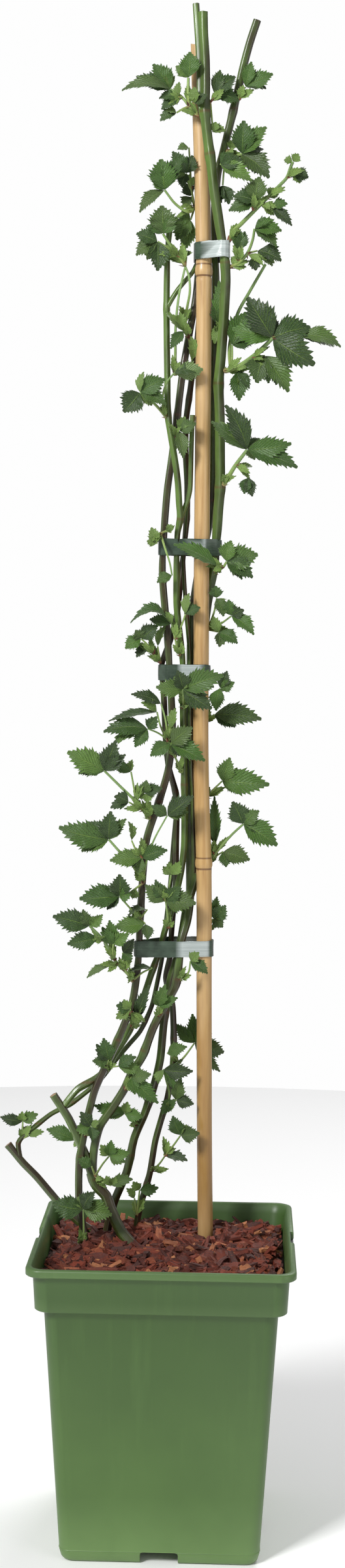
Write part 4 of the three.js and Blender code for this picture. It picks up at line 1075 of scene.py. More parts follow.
# Painted shade: the side facing right and up is pulled towards the dark purple-brown end of the ramp.
painted_shade_side = maths(tree, "SUBTRACT", attribute(tree, "painted_shade_side"), 0.42)
shade = maths(tree, "SUBTRACT", patchy, maths(tree, "MULTIPLY", painted_shade_side, 0.9), True)
skin = ramp(tree, shade, [
    (0.0, srgb(50, 34, 26)), (0.3, srgb(58, 54, 30)), (0.5, srgb(62, 76, 34)), (1.0, srgb(88, 114, 52)),
])
streaked = mix(tree, ramp(tree, along_noise, [(0.45, grey(0)), (0.75, grey(0.55))]), skin, srgb(38, 32, 24))
# Painted highlight: the outermost part of each ridge is painted pale grey-green.
lit = mix(tree, ramp(tree, ridge, [(0.75, grey(0)), (1.0, grey(0.3))]), streaked, srgb(128, 134, 104))
ringed = mix(tree, ramp(tree, ring, [(0.45, grey(0)), (0.9, grey(0.45))]), lit, srgb(92, 50, 36))
bare = ramp(tree, attribute(tree, "cut_wood"), [(0.6, grey(0)), (0.9, grey(1))])
cut = mix(tree, bare, ringed, srgb(150, 122, 88))
tree.links.new(cut, shader.inputs["Base Color"])
tree.links.new(ramp(tree, along_noise, [(0.3, grey(0.24)), (0.75, grey(0.42))]), shader.inputs["Roughness"])
tree.links.new(bump(tree, along_noise, 0.0005, 0.6), shader.inputs["Normal"])
for piece in canes.values():
    piece.data.materials.append(rind)
print("cane material nodes:", len(tree.nodes))

# %% [markdown]
# ## Tape ties
# The ties are strips of stretched grey-green plastic tape, 13 mm wide, each drawn tight round
# the canes and the bamboo and stuck to itself. The solid bands already run the right way round,
# so each is copied. Extra edge rings then let the tape pucker a little.

# %% Ties, and where across the plant each tape gets its painted highlight, in millimetres
TIES = {
    "tie_1_low": (9.5, 33.0), "tie_2_middle": (6.5, 24.0),
    "tie_3_upper": (23.0, 26.5), "tie_4_top": (20.0, 60.0),
}
TIES_SHOWN = {}
for name in TIES:
    solid = frame["nodes"][name]
    band = copy_of(solid, name + "_tape")
    band.parent = None
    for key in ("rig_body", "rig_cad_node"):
        if key in band:
            del band[key]
    band.data.materials.clear()
    edit(band)
    bpy.ops.mesh.select_all(action="SELECT")
    bpy.ops.mesh.remove_doubles(threshold=0.00001)
    bpy.ops.mesh.dissolve_limited(angle_limit=math.radians(2))
    bpy.ops.mesh.normals_make_consistent(inside=False)
    bpy.ops.mesh.subdivide(number_cuts=5)
    bpy.ops.object.mode_set(mode="OBJECT")
    points = points_of(band)
    low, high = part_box(name)
    middle = (low + high) / 2
    for p in points:
        wave = math.sin(p[0] * 310 + p[1] * 170 + middle.z * 50) + 0.6 * math.sin(p[0] * 730 + 1)
        away = (p[2] - middle.z) / (6.5 * MM)
        outwards = Vector((p[0] - middle.x, p[1] - middle.y, 0)).normalized()
        p[2] += 0.22 * MM * wave * away
        p[:2] += np.array(outwards.xy) * 0.16 * MM * wave * (away * away)
    set_points(band, points)
    smooth(band, 30)
    belongs(band, name)
    TIES_SHOWN[name] = band
print("tie faces:", {name: len(t.data.polygons) for name, t in TIES_SHOWN.items()})

# %% [markdown]
# The tape is grey-green and half clear. Over one span across each tie it is painted whitish grey
# with fine lengthwise threads, a painted highlight, and the change is a sharp line.

# %% Tape material
# Painted highlight: between its two x values, each tie's tape is painted whitish.
for name, band in TIES_SHOWN.items():
    start, end = TIES[name]
    x = points_of(band)[:, 0] / MM
    mark(band, "tape_highlight", np.clip((x - start) / 1.2, 0, 1) * np.clip((end - x) / 1.2, 0, 1))
tape, tree, shader = new_material("tie_tape")
tape_highlight = attribute(tree, "tape_highlight")
thread = noise(tree, object_place(tree, (12, 12, 1400)), 1.0, 4.0)
cloud = noise(tree, object_place(tree), 120.0, 4.0)
film = ramp(tree, cloud, [(0.35, srgb(48, 62, 50)), (0.7, srgb(70, 86, 72))])
white = ramp(tree, thread, [(0.3, srgb(150, 160, 158)), (0.7, srgb(184, 192, 190))])
# The tape's own film colour, with the painted highlight mixed over it.
tree.links.new(mix(tree, tape_highlight, film, white), shader.inputs["Base Color"])
tree.links.new(ramp(tree, thread, [(0.3, grey(0.16)), (0.7, grey(0.34))]), shader.inputs["Roughness"])
tree.links.new(bump(tree, thread, 0.0002, 0.5), shader.inputs["Normal"])
for band in TIES_SHOWN.values():
    band.data.materials.append(tape)
print("tape on", len(TIES_SHOWN), "ties")

# %% [markdown]
# ## The leafy shoots
# Each shoot is a list of stalks. A stalk has its own points, from the cane to the joint where
# its leaflets meet, then the leaflets: the tip, the width, the roll of the face (0 looks to the
# front, 90 to the sky) and how much the blade arches; last, where it differs, its radius.

# %% Routes of the shoots
SHOOTS = {
  "shoot_foot_left": [
    [[[-67, 7, 233], [-67, -2, 247], [-67.5, -6, 261]],
      [[-93, -8, 266, 17, 20], [-44, -10, 257, 15, 20], [-58, -10, 276, 12, 30]]],
  ],
  "shoot_fork": [
    [[[-58, 16, 289], [-52, 10, 284], [-45, 4, 281.5]],
      [[-49, 3, 289.5, 6], [-41, 2, 289, 6], [-27, 0, 287, 8, 30]]],
    [[[-58, 16, 289], [-52, 6, 299], [-46.5, 0, 306]],
      [[-30, -4, 309, 10, 20], [-45, -4, 319, 9], [-54, -2, 315, 7], [-33, -5, 301, 8, 30]]],
    [[[-58, 16, 289], [-61, 13, 297]], [[-72, 12, 303, 8, 30]]],
  ],
  "shoot_foot_dark": [
    [[[-23.5, 50, 257], [-25.6, 42, 271]], [[-32.4, 40, 279.5, 5, 30]]],
    [[[-23.5, 50, 257], [-22.5, 44, 268], [-21.5, 40, 278]], [[-6, 36, 280.5, 8, 20], [-27, 38, 285, 7]]],
  ],
  "shoot_dark_low": [
    [[[-11, 46, 294.5], [-5, 38, 301], [-1, 34, 307]], [[-2.8, 32, 323, 5, 50], [17.5, 30, 303, 8, 60]]],
    [[[-1, 34, 307], [6, 30, 316], [11.5, 28, 324]], [[5, 26, 340, 11], [27, 24, 326, 12, 20]]],
  ],
  "shoot_low_left_tip": [
    [[[-118, 54, 319], [-117.5, 50, 333]],
      [[-136, 48, 336.5, 9, 20], [-105, 46, 339.5, 8, 10], [-118, 47, 341.5, 6]]],
    [[[-118, 54, 319], [-113, 48, 321]], [[-100, 46, 325, 6, 50]]],
  ],
  "shoot_behind_stub": [
    [[[-70, 23, 314], [-75, 29, 318]], [[-98, 32, 327, 11, 30]]],
  ],
  "shoot_stub": [
    [[[-66, 15, 322], [-62, 8, 330]],
      [[-70.5, 6, 342, 8], [-74, 6, 326.5, 8, 10], [-61, 3, 318, 9, 20], [-55, 5, 335, 5, 30]]],
  ],
  "shoot_green_low": [
    [[[-49.5, 22, 376], [-49, 18, 380], [-48, 14, 385]],
      [[-61, 10, 384, 9, 10], [-52, 8, 403, 12], [-58, 9, 398, 8, 10]]],
    [[[-49.5, 22, 376], [-46, 18, 379], [-40, 14, 380]], [[-25, 10, 388, 8, 20], [-20, 12, 376, 10, 30]]],
  ],
  "shoot_middle_low": [
    [[[-34, 20, 361], [-29, 12, 371]], [[-13, 7, 374, 10, 30], [-7, 8, 350, 12, 20], [-26, 6, 357, 9, 20]]],
  ],
  "shoot_cut_low": [
    [[[-25, 43, 332], [-30, 34, 337], [-34, 30, 341]],
      [[-59, 27, 347.5, 12, 10], [-52, 26, 340, 9, 20], [-19.5, 26, 338.5, 10, 20], [-32, 27, 351, 7]]],
  ],
  "shoot_dark_mid": [
    [[[0, 39, 346], [7.5, 32, 353]], [[22, 28, 350, 10, 20], [11, 27, 372, 10], [-4, 29, 341, 8, 30]]],
    [[[0, 39, 346], [2, 35, 358], [-1, 30, 370], [-3, 27, 378]],
      [[21, 22, 377, 12, 20], [5, 24, 362, 8, 40], [-7, 22, 366, 7, 40]]],
  ],
  "shoot_behind_bamboo": [
    [[[9, 45, 383], [7, 38, 387], [0, 32, 391.5]], [[16, 25, 397, 10, 20]]],
    [[[9, 45, 383], [15, 49, 390], [22, 55, 400]],
      [[6, 55, 416, 10], [20, 56, 424, 11], [46, 60, 393, 16], [35, 58, 413, 13], [43, 58, 377, 9, 10]]],
  ],
  "shoot_left_low": [
    [[[-33, 17, 421], [-31, 10, 425], [-30.5, 6, 427]],
      [[-42, 4, 419, 7, 20], [-42, 4, 430, 8, 10], [-36, 3, 435, 6]]],
    [[[-29, 30, 412], [-25, 24, 418]], [[-18, 20, 436, 7, 40], [-15, 18, 447, 9, 20]]],
    [[[-31, 10, 425], [-27, 16, 420], [-25, 24, 418]], [[-24, 22, 427, 6, 20]]],
  ],
  "shoot_middle_mid": [
    [[[-7, 22, 422], [-8, 14, 430]], [[-10, 10, 442, 9, 20], [-2, 8, 448, 8, 20], [8, 10, 437, 9, 20]]],
  ],
  "shoot_big_left": [
    [[[-29, 18, 450], [-32, 12, 455], [-43.5, 4, 467], [-52.5, -2, 483], [-64, -7, 494.5]],
      [[-94, -10, 502, 16, 15], [-53.5, -12, 504, 9], [-69.5, -12, 508, 9]], 1.4],
    [[[-52.5, -2, 483], [-57, -5, 485]], [[-82, -7, 479.5, 13, 25]]],
    [[[-43.5, 4, 467], [-45, 0, 474], [-44.6, -2, 480]],
      [[-48, -5, 499.5, 10], [-54, -5, 494, 8], [-32, -6, 488.5, 10, 15]]],
    [[[-35, 10, 458], [-37, 4, 473]], [[-28, 0, 484.5, 9], [-30, 0, 467, 8, 20]]],
    [[[-41, 6, 464], [-46.5, 1, 462.5]], [[-66, -1, 452, 9, 60]]],
    [[[-29, 18, 450], [-21, 15, 457], [-13, 14, 461]], [[-32, 9, 457.5, 9, 65]]],
  ],
  "shoot_bamboo_low": [
    [[[10, 21, 452], [16.5, 14, 458], [18, 10, 467]], [[32, 5, 457, 10, 25], [25, 6, 474.5, 7, 20]]],
  ],
  "shoot_right_low": [
    [[[31, 45, 490], [36, 40, 502]], [[46, 36, 513, 12], [44, 37, 495, 10, 20], [39, 37, 520, 9]]],
  ],
  "shoot_left_mid": [
    [[[-23.5, 17, 501], [-30.5, 11, 508.5], [-40, 6, 519]],
      [[-72.5, 2, 516.5, 18, 20], [-40, 0, 537, 15], [-50, 3, 508, 9, 20], [-30, 1, 521, 8, 10]]],
    [[[-23.5, 17, 501], [-19, 12, 497]], [[-44, 6, 494, 14, 25], [-17, 8, 484, 9, 20]]],
    [[[-23.5, 17, 501], [-17.5, 12, 508.5]], [[-33, 8, 502.5, 8, 60]]],
  ],
  "shoot_hairy": [
    [[[0, 28, 494], [-1, 20, 505], [-2.5, 13, 515.5]],
      [[-19, 10, 528.5, 13], [-11, 8, 533, 10], [22, 5, 514, 17, 20], [9, 6, 528, 12]]],
    [[[-2.5, 13, 515.5], [0, 11, 527], [1.5, 10, 537]],
      [[-5, 9, 544, 5], [0, 9, 548, 5], [8.5, 8, 548, 7]]],
  ],
  "shoot_left_node": [
    [[[-21, 16, 530], [-21, 12, 540], [-22, 8, 550.5]],
      [[-48, 4, 548, 13, 30], [-25, 6, 537, 9, 20], [-1.5, 4, 557, 12, 20], [-23, 6, 567, 6, 40]]],
    [[[-22, 8, 550.5], [-27, 8, 557], [-30.5, 7, 564.5]], [[-33.5, 6, 580, 7, 50]]],
    [[[-21, 16, 530], [-32, 10, 522]], [[-24, 8, 519, 6, 20]]],
    [[[-21, 16, 530], [-30, 11, 545], [-39.5, 6, 554.5], [-49, 4, 565]],
      [[-89.5, 0, 574.5, 19, 20], [-47.5, -2, 588, 15], [-35, 0, 582, 10], [-71, 2, 555, 14, 30]], 1.3],
    [[[-21, 16, 530], [-19, 12, 545], [-13, 12, 564], [-2, 8, 585]],
      [[-14.5, 5, 593, 9], [19, 2, 601, 14, 20], [15, 4, 588, 10, 20]]],
  ],
  "shoot_right_mid": [
    [[[31, 42, 545], [36.5, 38, 554], [50, 32, 570], [59.5, 28, 579]],
      [[50.5, 25, 597, 15], [87, 22, 562, 18, 20], [72, 24, 590, 12, 20]], 1.2],
    [[[31, 42, 545], [37, 40, 552], [43.5, 38, 556.5]], [[65, 36, 550, 14, 20], [46, 36, 544, 10, 20]]],
    [[[36.5, 38, 554], [37, 38, 562]], [[40, 37, 582, 8, 40], [36, 38, 601, 9, 10]]],
  ],
  "shoot_left_top_node": [
    [[[-16, 17, 582], [-26.5, 11, 595], [-40, 6, 608], [-53, 0, 620.5]],
      [[-83, -4, 635.5, 18, 20], [-44, -6, 645, 14], [-36, -4, 634, 10], [-74, -2, 618, 13, 30]], 1.3],
    [[[-26.5, 11, 595], [-29, 8, 607], [-31.5, 6, 620]], [[-30.5, 5, 630, 5, 30], [-47.5, 4, 626, 9, 20]]],
    [[[-22, 13, 589], [-33, 8, 595.5]], [[-45, 6, 600, 8, 20], [-48, 6, 590.5, 8, 30]]],
    [[[-16, 17, 582], [-18, 12, 592], [-20, 10, 602.5]],
      [[-19, 7, 613.5, 9], [-27, 8, 601, 6], [-18, 7, 595, 7, 20], [-6, 6, 607, 9, 20]]],
  ],
  "shoot_right_high": [
    [[[29, 38, 600], [32, 35, 603.5], [42, 30, 613.5]],
      [[48, 26, 632.5, 13], [80, 20, 611, 19, 20], [57, 26, 603, 11, 25]]],
  ],
  "shoot_front": [
    [[[9, 20, 620], [5, 14, 630], [0, 8, 639], [0.5, 5, 643]],
      [[-16, 2, 633, 11, 20], [17.5, -2, 656.5, 14], [28, 0, 629.5, 14, 25]]],
    [[[4, 13, 632], [-2, 12, 645], [-9, 10, 651], [-18.5, 8, 655]],
      [[-54, 2, 652, 15, 25], [-28.5, 4, 640, 11, 20], [-11, 4, 665, 8], [-47, 4, 641, 8, 40]]],
    [[[-2, 12, 645], [0, 9, 655]], [[4, 7, 672, 6, 20]]],
    [[[-2, 12, 645], [-8, 12, 657], [-11, 12, 668.5]], [[-50, 4, 660.5, 10, 60], [-24, 6, 676, 7, 30]]],
    [[[-2, 12, 645], [-4, 13, 662], [-7.7, 14, 675]], [[-32, 6, 682.5, 10, 25]]],
  ],
  "shoot_right_far": [
    [[[27, 33, 660], [35, 27, 667]], [[73, 20, 663.5, 16, 20], [52, 24, 657, 10, 30]]],
    [[[27, 33, 660], [30, 31, 676], [39.5, 26, 688]],
      [[45, 24, 702, 9], [51, 22, 693, 9, 10], [36.5, 22, 670, 11, 10]]],
  ],
  "shoot_over_tie": [
    [[[9.8, 16, 672], [10, 6, 680], [9.7, 0, 687]],
      [[42, -8, 698.5, 17, 10], [33, -6, 671.5, 15, 15], [5, -6, 702, 12], [-12, -4, 688.5, 13, 15]]],
  ],
  "shoot_left_arm": [
    [[[-8.5, 18, 708], [-14, 14, 714], [-19, 11, 720]], [[-28, 9, 712, 8, 25]]],
    [[[-14, 14, 714], [-19, 10, 722], [-24.3, 8, 727]],
      [[-37, 5, 719, 11, 20], [-29, 5, 734, 9], [-11, 4, 738, 12, 20]]],
    [[[-8.5, 18, 708], [-11, 13, 721]], [[-4.5, 11, 738, 6, 40]]],
  ],
  "shoot_arch": [
    [[[7, 14, 714], [3, 6, 727], [0, 3, 739]], [[-33, -3, 739.5, 14, 55, 0.35], [-5, 1, 749, 5, 30]]],
    [[[3, 6, 727], [8, 5, 738], [11, 4, 747]], [[23, 3, 752.5, 9, 20], [14, 6, 764, 6, 30]]],
  ],
  "shoot_right_pair": [
    [[[29, 28, 735], [39, 22, 739.5], [48, 16, 746]],
      [[45.5, 13, 759, 10], [58, 12, 751, 8], [66, 8, 731, 12, 20]]],
    [[[29, 28, 735], [38, 20, 733]], [[38.5, 17, 721, 8, 20], [53, 17, 724, 11, 20], [33.5, 18, 745.5, 7]]],
    [[[29, 28, 735], [34, 22, 749], [36, 15, 760]], [[41.5, 12, 745.5, 11, 20], [35, 13, 770, 8]]],
  ],
  "shoot_tie_right": [
    [[[34.5, 16, 781], [38, 9, 783], [41, 5, 785], [43.5, 2, 789]],
      [[68.5, -2, 795, 18, 10], [64.5, -3, 776.5, 14, 20], [56, -2, 775, 10, 30], [47, 2, 806, 12]], 1.3],
    [[[41, 5, 785], [36, 1, 786]], [[1, -8, 802.5, 12, 25]]],
  ],
  "shoot_tie_left": [
    [[[-9.5, 5, 811], [-12, 2, 807], [-12.5, 0, 803]], [[-17, 0, 816, 7, 10], [-20.5, 0, 805, 6, 20]]],
    [[[-9.5, 5, 811], [-6, -3, 800], [-2, -3, 788], [0, 1, 778]], [[-12, -1, 772, 9, 20]]],
    [[[-9.5, 5, 811], [-5, 3, 813], [-1, 2, 812]], [[-4, 1, 818.5, 6, 20]]],
  ],
  "shoot_right_cluster": [
    [[[40.5, 8, 850], [44, 3, 856], [50, -2, 866], [59, -8, 878]],
      [[65, -11, 870, 9, 20], [99, -16, 864, 18, 25], [94, -14, 883, 15, 10], [30, -12, 900, 12, 20],
        [41, -14, 913, 15]], 1.8],
    [[[50, -2, 866], [59, -1, 863], [60, -1, 856]], [[57, -1, 843, 9, 15], [63.5, -2, 841, 9]], 0.6],
  ],
  "shoot_bright_low": [
    [[[1.5, 4, 888], [2, 0, 890], [4, -4, 893]],
      [[18, -6, 898.5, 11, 20], [9, -5, 904, 7], [8, -6, 871, 10, 10]]],
  ],
  "shoot_left_wing": [
    [[[-6, -1, 903], [-10, -6, 908], [-18, -10, 916], [-27, -13, 922.5]],
      [[-7, -15, 933, 14], [-6, -16, 913, 11, 15], [-40, -15, 907, 17, 10], [-24, -14, 939, 7, 50]], 1.2],
    [[[-6, -1, 903], [-9, -4, 917], [-6, -6, 930], [0, -8, 938]], [[23, -12, 941, 13, 165]]],
  ],
  "shoot_inner": [
    [[[11, 9, 966], [7, 4, 971]], [[-8, -2, 986.5, 7, 40], [4, 2, 986, 6, 30], [-3, 0, 957, 9, 20]]],
    [[[11, 9, 966], [13, 8, 956], [14, 7, 948]], [[13, 3, 967, 7, 20], [14, 5, 932, 6, 30]]],
  ],
  "shoot_big_right": [
    [[[40.5, 4, 940], [45, 0, 941], [52, -4, 944], [62, -9, 951], [70, -13, 958], [78, -17, 966]],
      [[57.5, -20, 997.5, 21], [108, -15, 974, 20, 5], [111.5, -24, 945, 22, 10], [46, -12, 973, 17, 15]], 2],
    [[[78, -17, 966], [89, -16, 968.5], [98, -15, 968]], [[132, -14, 959, 14, 35, 0.12]]],
    [[[62, -9, 951], [72, -11, 952]], [[91, -14, 923.5, 17, 15], [66, -13, 930.5, 18, 10]]],
    [[[45, 0, 941], [51, -2, 940]], [[52, -5, 916.5, 13, 10], [60, -6, 926, 9, 20]]],
    [[[45, 0, 941], [46, 3, 950], [46, 4, 960]], [[57, 6, 986, 18], [63, 5, 962, 15, 15]]],
    [[[45, 0, 941], [44, 7, 960], [50, 11, 985], [58, 13, 1000], [66, 14, 1014], [71.5, 14, 1023.5]],
      [], 1.5],
  ],
  "shoot_right_inner": [
    [[[35, 13, 968], [35, 8, 976]], [[31.5, 5, 993, 8, 20], [35, 6, 1011, 8, 10], [32, 7, 961, 7, 20]]],
  ],
  "shoot_upper_right": [
    [[[43.5, -5, 1021], [51, -8, 1025], [57, -10, 1032], [61, -12, 1042], [62.5, -12, 1051]],
      [[84, -14, 1049.5, 12, 20], [80, -14, 1037, 14, 20], [78, -13, 1058, 8, 40]], 1.3],
    [[[51, -8, 1025], [50, -9, 1034]], [[48, -8, 1053, 9], [55, -9, 1049, 9]]],
    [[[57, -10, 1032], [61, -9, 1029]], [[64, -9, 1018.5, 8, 20]]],
    [[[57, -10, 1032], [65, -8, 1034]], [[84, -9, 1026, 13, 25], [77, -8, 1022, 11, 20]]],
  ],
  "lateral_top_right": [
    [[[42, -8, 1041], [46, -9, 1049], [52, -10, 1055], [59, -11, 1062], [64, -12, 1067], [70, -13, 1073],
      [76, -14, 1079], [82, -14, 1085], [87.5, -15, 1091], [90, -16, 1098], [92, -16, 1103]],
      [[85, -16, 1104.5, 6, 20], [96.5, -17, 1109.5, 6]], 1.6],
    [[[62, -12, 1065], [63, -14, 1072]],
      [[66, -16, 1091.5, 15, 10], [45, -15, 1076, 14, 20], [42, -14, 1065, 13, 20]]],
    [[[68, -13, 1071], [73, -14, 1067], [76, -15, 1068]],
      [[88.5, -16, 1070.5, 8, 20], [92, -17, 1053.5, 9, 15], [81, -16, 1061, 7, 20]], 0.6],
    [[[87.5, -15, 1091], [93, -16, 1094]], [[104.5, -17, 1091, 10, 15], [98, -17, 1086.5, 7, 20]]],
    [[[72, -13, 1075], [74, -13, 1076]], [[77.5, -13, 1083, 6, 10]]],
  ],
  "shoot_bright_pair": [
    [[[40.5, -2, 1112], [45, -5, 1108], [52, -8, 1109]],
      [[53, -12, 1135, 16], [71, -12, 1130, 16, 10], [73.5, -14, 1090.5, 16, 15],
        [54, -8, 1098, 6, 20]], 1.2],
    [[[40.5, -2, 1112], [43, -5, 1112]], [[45, -6, 1120.5, 6]]],
    [[[40.5, -2, 1112], [39, -12, 1106], [35, -17, 1101]],
      [[52, -20, 1105, 11, 10], [60, -21, 1088, 13, 15], [44, -19, 1110, 9]]],
    [[[40.5, -2, 1112], [38, -4, 1098], [37, -8, 1085]], [[34, -6, 1069, 8, 20], [42, -7, 1070, 8, 20]]],
  ],
  "shoot_left_curl": [
    [[[15, 8, 1068], [10, 0, 1064], [0, -5, 1070], [-9, -9, 1081]],
      [[-12, -13, 1105, 19], [5, -14, 1108, 13, 20], [-18.5, -11, 1091, 9],
        [-28.5, -12, 1063.5, 10, 30]], 1.2],
    [[[15, 8, 1068], [12, 7, 1058]], [[2, 6, 1062, 11], [1, 7, 1042, 16, 15], [7, 7, 1034, 12, 20]]],
    [[[15, 8, 1068], [12, 2, 1082], [8, -2, 1094]],
      [[-3, -5, 1111, 11], [13, -5, 1108, 12], [5, -4, 1083, 9, 20], [-1, -4, 1090, 6, 30]]],
    [[[15, 8, 1068], [12, 7, 1076]], [[6, 7, 1068, 8, 20], [7, 7, 1086, 8]]],
    [[[12, 2, 1082], [11, 1, 1100], [10, -3, 1114]], [[1, -5, 1112.5, 9, 30]]],
  ],
  "shoot_left_fan": [
    [[[8, -1, 1022], [3, -4, 1029], [-4, -7, 1038], [-10, -9, 1047]],
      [[-11, -12, 1069, 19], [-23, -11, 1053, 8, 20], [1, -11, 1060, 9]], 1.3],
    [[[3, -4, 1029], [-6, -8, 1036], [-14, -10, 1041]],
      [[-31, -12, 1047, 12, 15], [-31, -13, 1030, 13, 20], [-14, -13, 1018, 15, 20]]],
    [[[8, -1, 1022], [9, 2, 1029]], [[10, 3, 1034, 7, 20]]],
    [[[1, 9, 936], [1, 7, 955], [1, 4, 975], [3.5, 0, 1000], [6, -1, 1012], [8.5, -1, 1023]], [], 1.1],
    [[[8, 14, 978], [10, 8, 990], [12, 0, 1003], [11, -1, 1014], [8, -1, 1022]], [], 1.1],
  ],
  "shoot_top_left": [
    [[[17, -14, 1138], [10, -16, 1146], [4, -17, 1153], [-5, -17, 1159]],
      [[-43.5, -20, 1158, 10, 30, 0.25], [-32, -20, 1169, 12, 20], [-19, -20, 1178.5, 14],
        [-9, -18, 1175, 6, 30]], 1.3],
    [[[10, -16, 1146], [9, -19, 1155], [9, -20, 1168]], [[10, -22, 1188, 14], [-1, -21, 1177, 10, 10]], 1.4],
    [[[4, -17, 1153], [1, -18, 1153]],
      [[-14, -20, 1152, 9, 25], [-12, -20, 1143.5, 9, 20], [2, -19, 1165, 5, 20]]],
    [[[10, -16, 1146], [5, -17, 1144], [0, -18, 1141]], [[-13, -19, 1134.5, 8, 25], [-9, -19, 1143, 6, 30]]],
    [[[17, -14, 1138], [14, -18, 1148]], [[24, -22, 1155, 9, 20], [14, -21, 1161, 7, 20]]],
  ],
  "shoot_top_right": [
    [[[26.5, -15, 1149], [30, -12, 1155]],
      [[46, -9, 1169, 13, 10], [34, -10, 1174, 9], [49, -8, 1150, 12, 25]]],
    [[[26.5, -15, 1149], [28, -13, 1135], [29, -12, 1126]], [[31, -12, 1134, 6], [39, -12, 1127, 7, 30]]],
  ],
  "shoot_dark_tip": [
    [[[49, -6, 1151], [52, -8, 1158], [54, -9, 1161]],
      [[58.5, -10, 1180.5, 9], [75.5, -12, 1171, 13, 10], [70.5, -11, 1159.5, 8, 30]]],
  ],
}

print("shoots:", len(SHOOTS))

# %% [markdown]
# ## One leaflet
# Bramble leaves come in threes and fives of pointed leaflets. The edge is cut into forward
# teeth, a deep crease runs down the middle, and side veins run straight out to the teeth. The
# leaflet is modelled once, flat, from a grid: its rows are drawn in to the outline, its edge
# points are pushed out into teeth, and Solidify gives it a thickness. It is one long and one
# wide, so every copy can be stretched to its real size.

# %% Leaflet outline
TEETH_ROWS = 4
WIDEST = 0.42


def outline(share):
    """Half the leaflet's width at a share of its length, without teeth; the widest is 0.5."""
    if share < WIDEST:
        return 0.5 * math.sin(max(share, 0) / WIDEST * math.pi / 2) ** 0.8
    left = min((1 - share) / (1 - WIDEST), 1)
    return 0.5 * (1 - (1 - left) ** 1.7) * (0.8 + 0.2 * left)


def tooth(row):
    """How far a margin point stands out: a slow rise and a sharp fall, with smaller teeth between."""
    phase = (row % TEETH_ROWS) / (TEETH_ROWS - 1)
    big = (row // TEETH_ROWS) % 2 == 0
    return (0.55 + 0.45 * big) * phase


def leaflet_shape(name, rows, columns, depth):
    only()
    bpy.ops.mesh.primitive_grid_add(x_subdivisions=rows, y_subdivisions=columns, size=1)
    leaf = named(name)
    uv = leaf.data.uv_layers.active or leaf.data.uv_layers.new(name="UVMap")
    points = points_of(leaf)
    flat = points.copy()
    for point, (x, y, _) in zip(points, flat):
        share, across = x + 0.5, 2 * y
        row = round(share * rows)
        reach = outline(share) + (0.004 if share in (0, 1) else 0)
        cut = tooth(row) * depth * (abs(across) > 0.99) * max(0, math.sin(math.pi * share)) ** 0.5
        point[0] = share + cut * 0.5 + 0.10 * abs(across) * reach * (1 - share)
        point[1] = math.copysign(reach * abs(across) + cut, across) if across else 0.0
    for loop in leaf.data.loops:
        x, y, _ = flat[loop.vertex_index]
        uv.data[loop.index].uv = (x + 0.5, y + 0.5)
    set_points(leaf, points)
    wall = leaf.modifiers.new("wall", "SOLIDIFY")
    wall.thickness = 0.012
    wall.offset = 0
    apply_all(leaf)
    mark(leaf, "underside", points_of(leaf)[:, 2] < 0)
    return leaf


big_leaflet = leaflet_shape("leaflet_big", 44, 8, 0.16)
small_leaflet = leaflet_shape("leaflet_small", 24, 4, 0.18)
print("faces of a leaflet:", len(big_leaflet.data.polygons), len(small_leaflet.data.polygons))

# %% [markdown]
# ## Bending a leaflet into place
# Each copy gets its own length, width and turn. The two halves rise from the crease, the blade
# arches and its edge ripples, by amounts drawn from a seeded dice, so no two are alike and
# every run gives the same plant.

# %% Place one leaflet
FOLD = 0.24
BACK_LEAF_FROM = 11
plant_dice = random.Random(7)


def leaf_frame(joint, tip, roll):
    """Directions along the leaflet, out of its face, and to its side."""
    along = (tip - joint).normalized()
    front = Vector((0, -1, 0))
    front = (front - along * front.dot(along)).normalized()
    skyward = along.cross(front)
    if skyward.z < 0:
        skyward.negate()
    turn = math.radians(roll)
    face = front * math.cos(turn) + skyward * math.sin(turn)
    return along, face, along.cross(face)


def leaflet(joint, x, y, z, width, roll=0, arch=0.08):
    return blade(joint, place([x, y, z]), width, roll, arch)


def blade(joint, tip, width, roll, arch):
    """A copy of the leaflet, bent and stretched to run from its joint to its tip."""
    along, face, side = leaf_frame(joint, tip, roll + plant_dice.uniform(-8, 8))
    length = (tip - joint).length
    wide = width * MM * (1.02 if width >= 9 else 1.2)
    piece = copy_of(big_leaflet if width >= 9 else small_leaflet, "leaflet")
    local = points_of(piece)
    share, across, thick = local.T
    edge = np.clip(np.abs(across) * 2, 0, 1.2)
    fold = FOLD * plant_dice.uniform(0.8, 2.3)
    ripple = plant_dice.uniform(0.02, 0.06)
    phase = plant_dice.uniform(0, 6.28)
    curl = plant_dice.uniform(-0.05, 0.10)
    twist = plant_dice.uniform(-0.25, 0.25)
    lift = fold * edge**1.15 * 0.5 * wide + arch * length * 4 * share * (1 - share)
    lift += ripple * wide * edge**1.5 * np.sin(share * 19 + phase + 1.7 * np.sign(across))
    lift -= curl * length * share**2.2 - curl * length * share
    lift += twist * share * across * wide
    waves = np.cos((share - 0.33 * edge) * 2 * math.pi * 7)
    quilt = waves * 0.018 * wide * np.sin(np.pi * np.clip(edge, 0, 1))
    lift += quilt + thick * max(0.012 * wide, 0.25 * MM) / 0.012
    sway = plant_dice.uniform(-0.05, 0.05) * length * 4 * share * (1 - share)
    base = np.array(joint) + 0.4 * MM * np.array(along)
    placed = base + np.outer(share * (length - 0.4 * MM), along) + np.outer(across * wide + sway, side)
    set_points(piece, placed + np.outer(lift, face))
    mark(piece, "tone", plant_dice.random())
    mark(piece, "young", 1.0 if width < 8 else max(0.0, plant_dice.uniform(-0.6, 0.5)))
    piece.data.materials.append(leaf_green)
    return piece


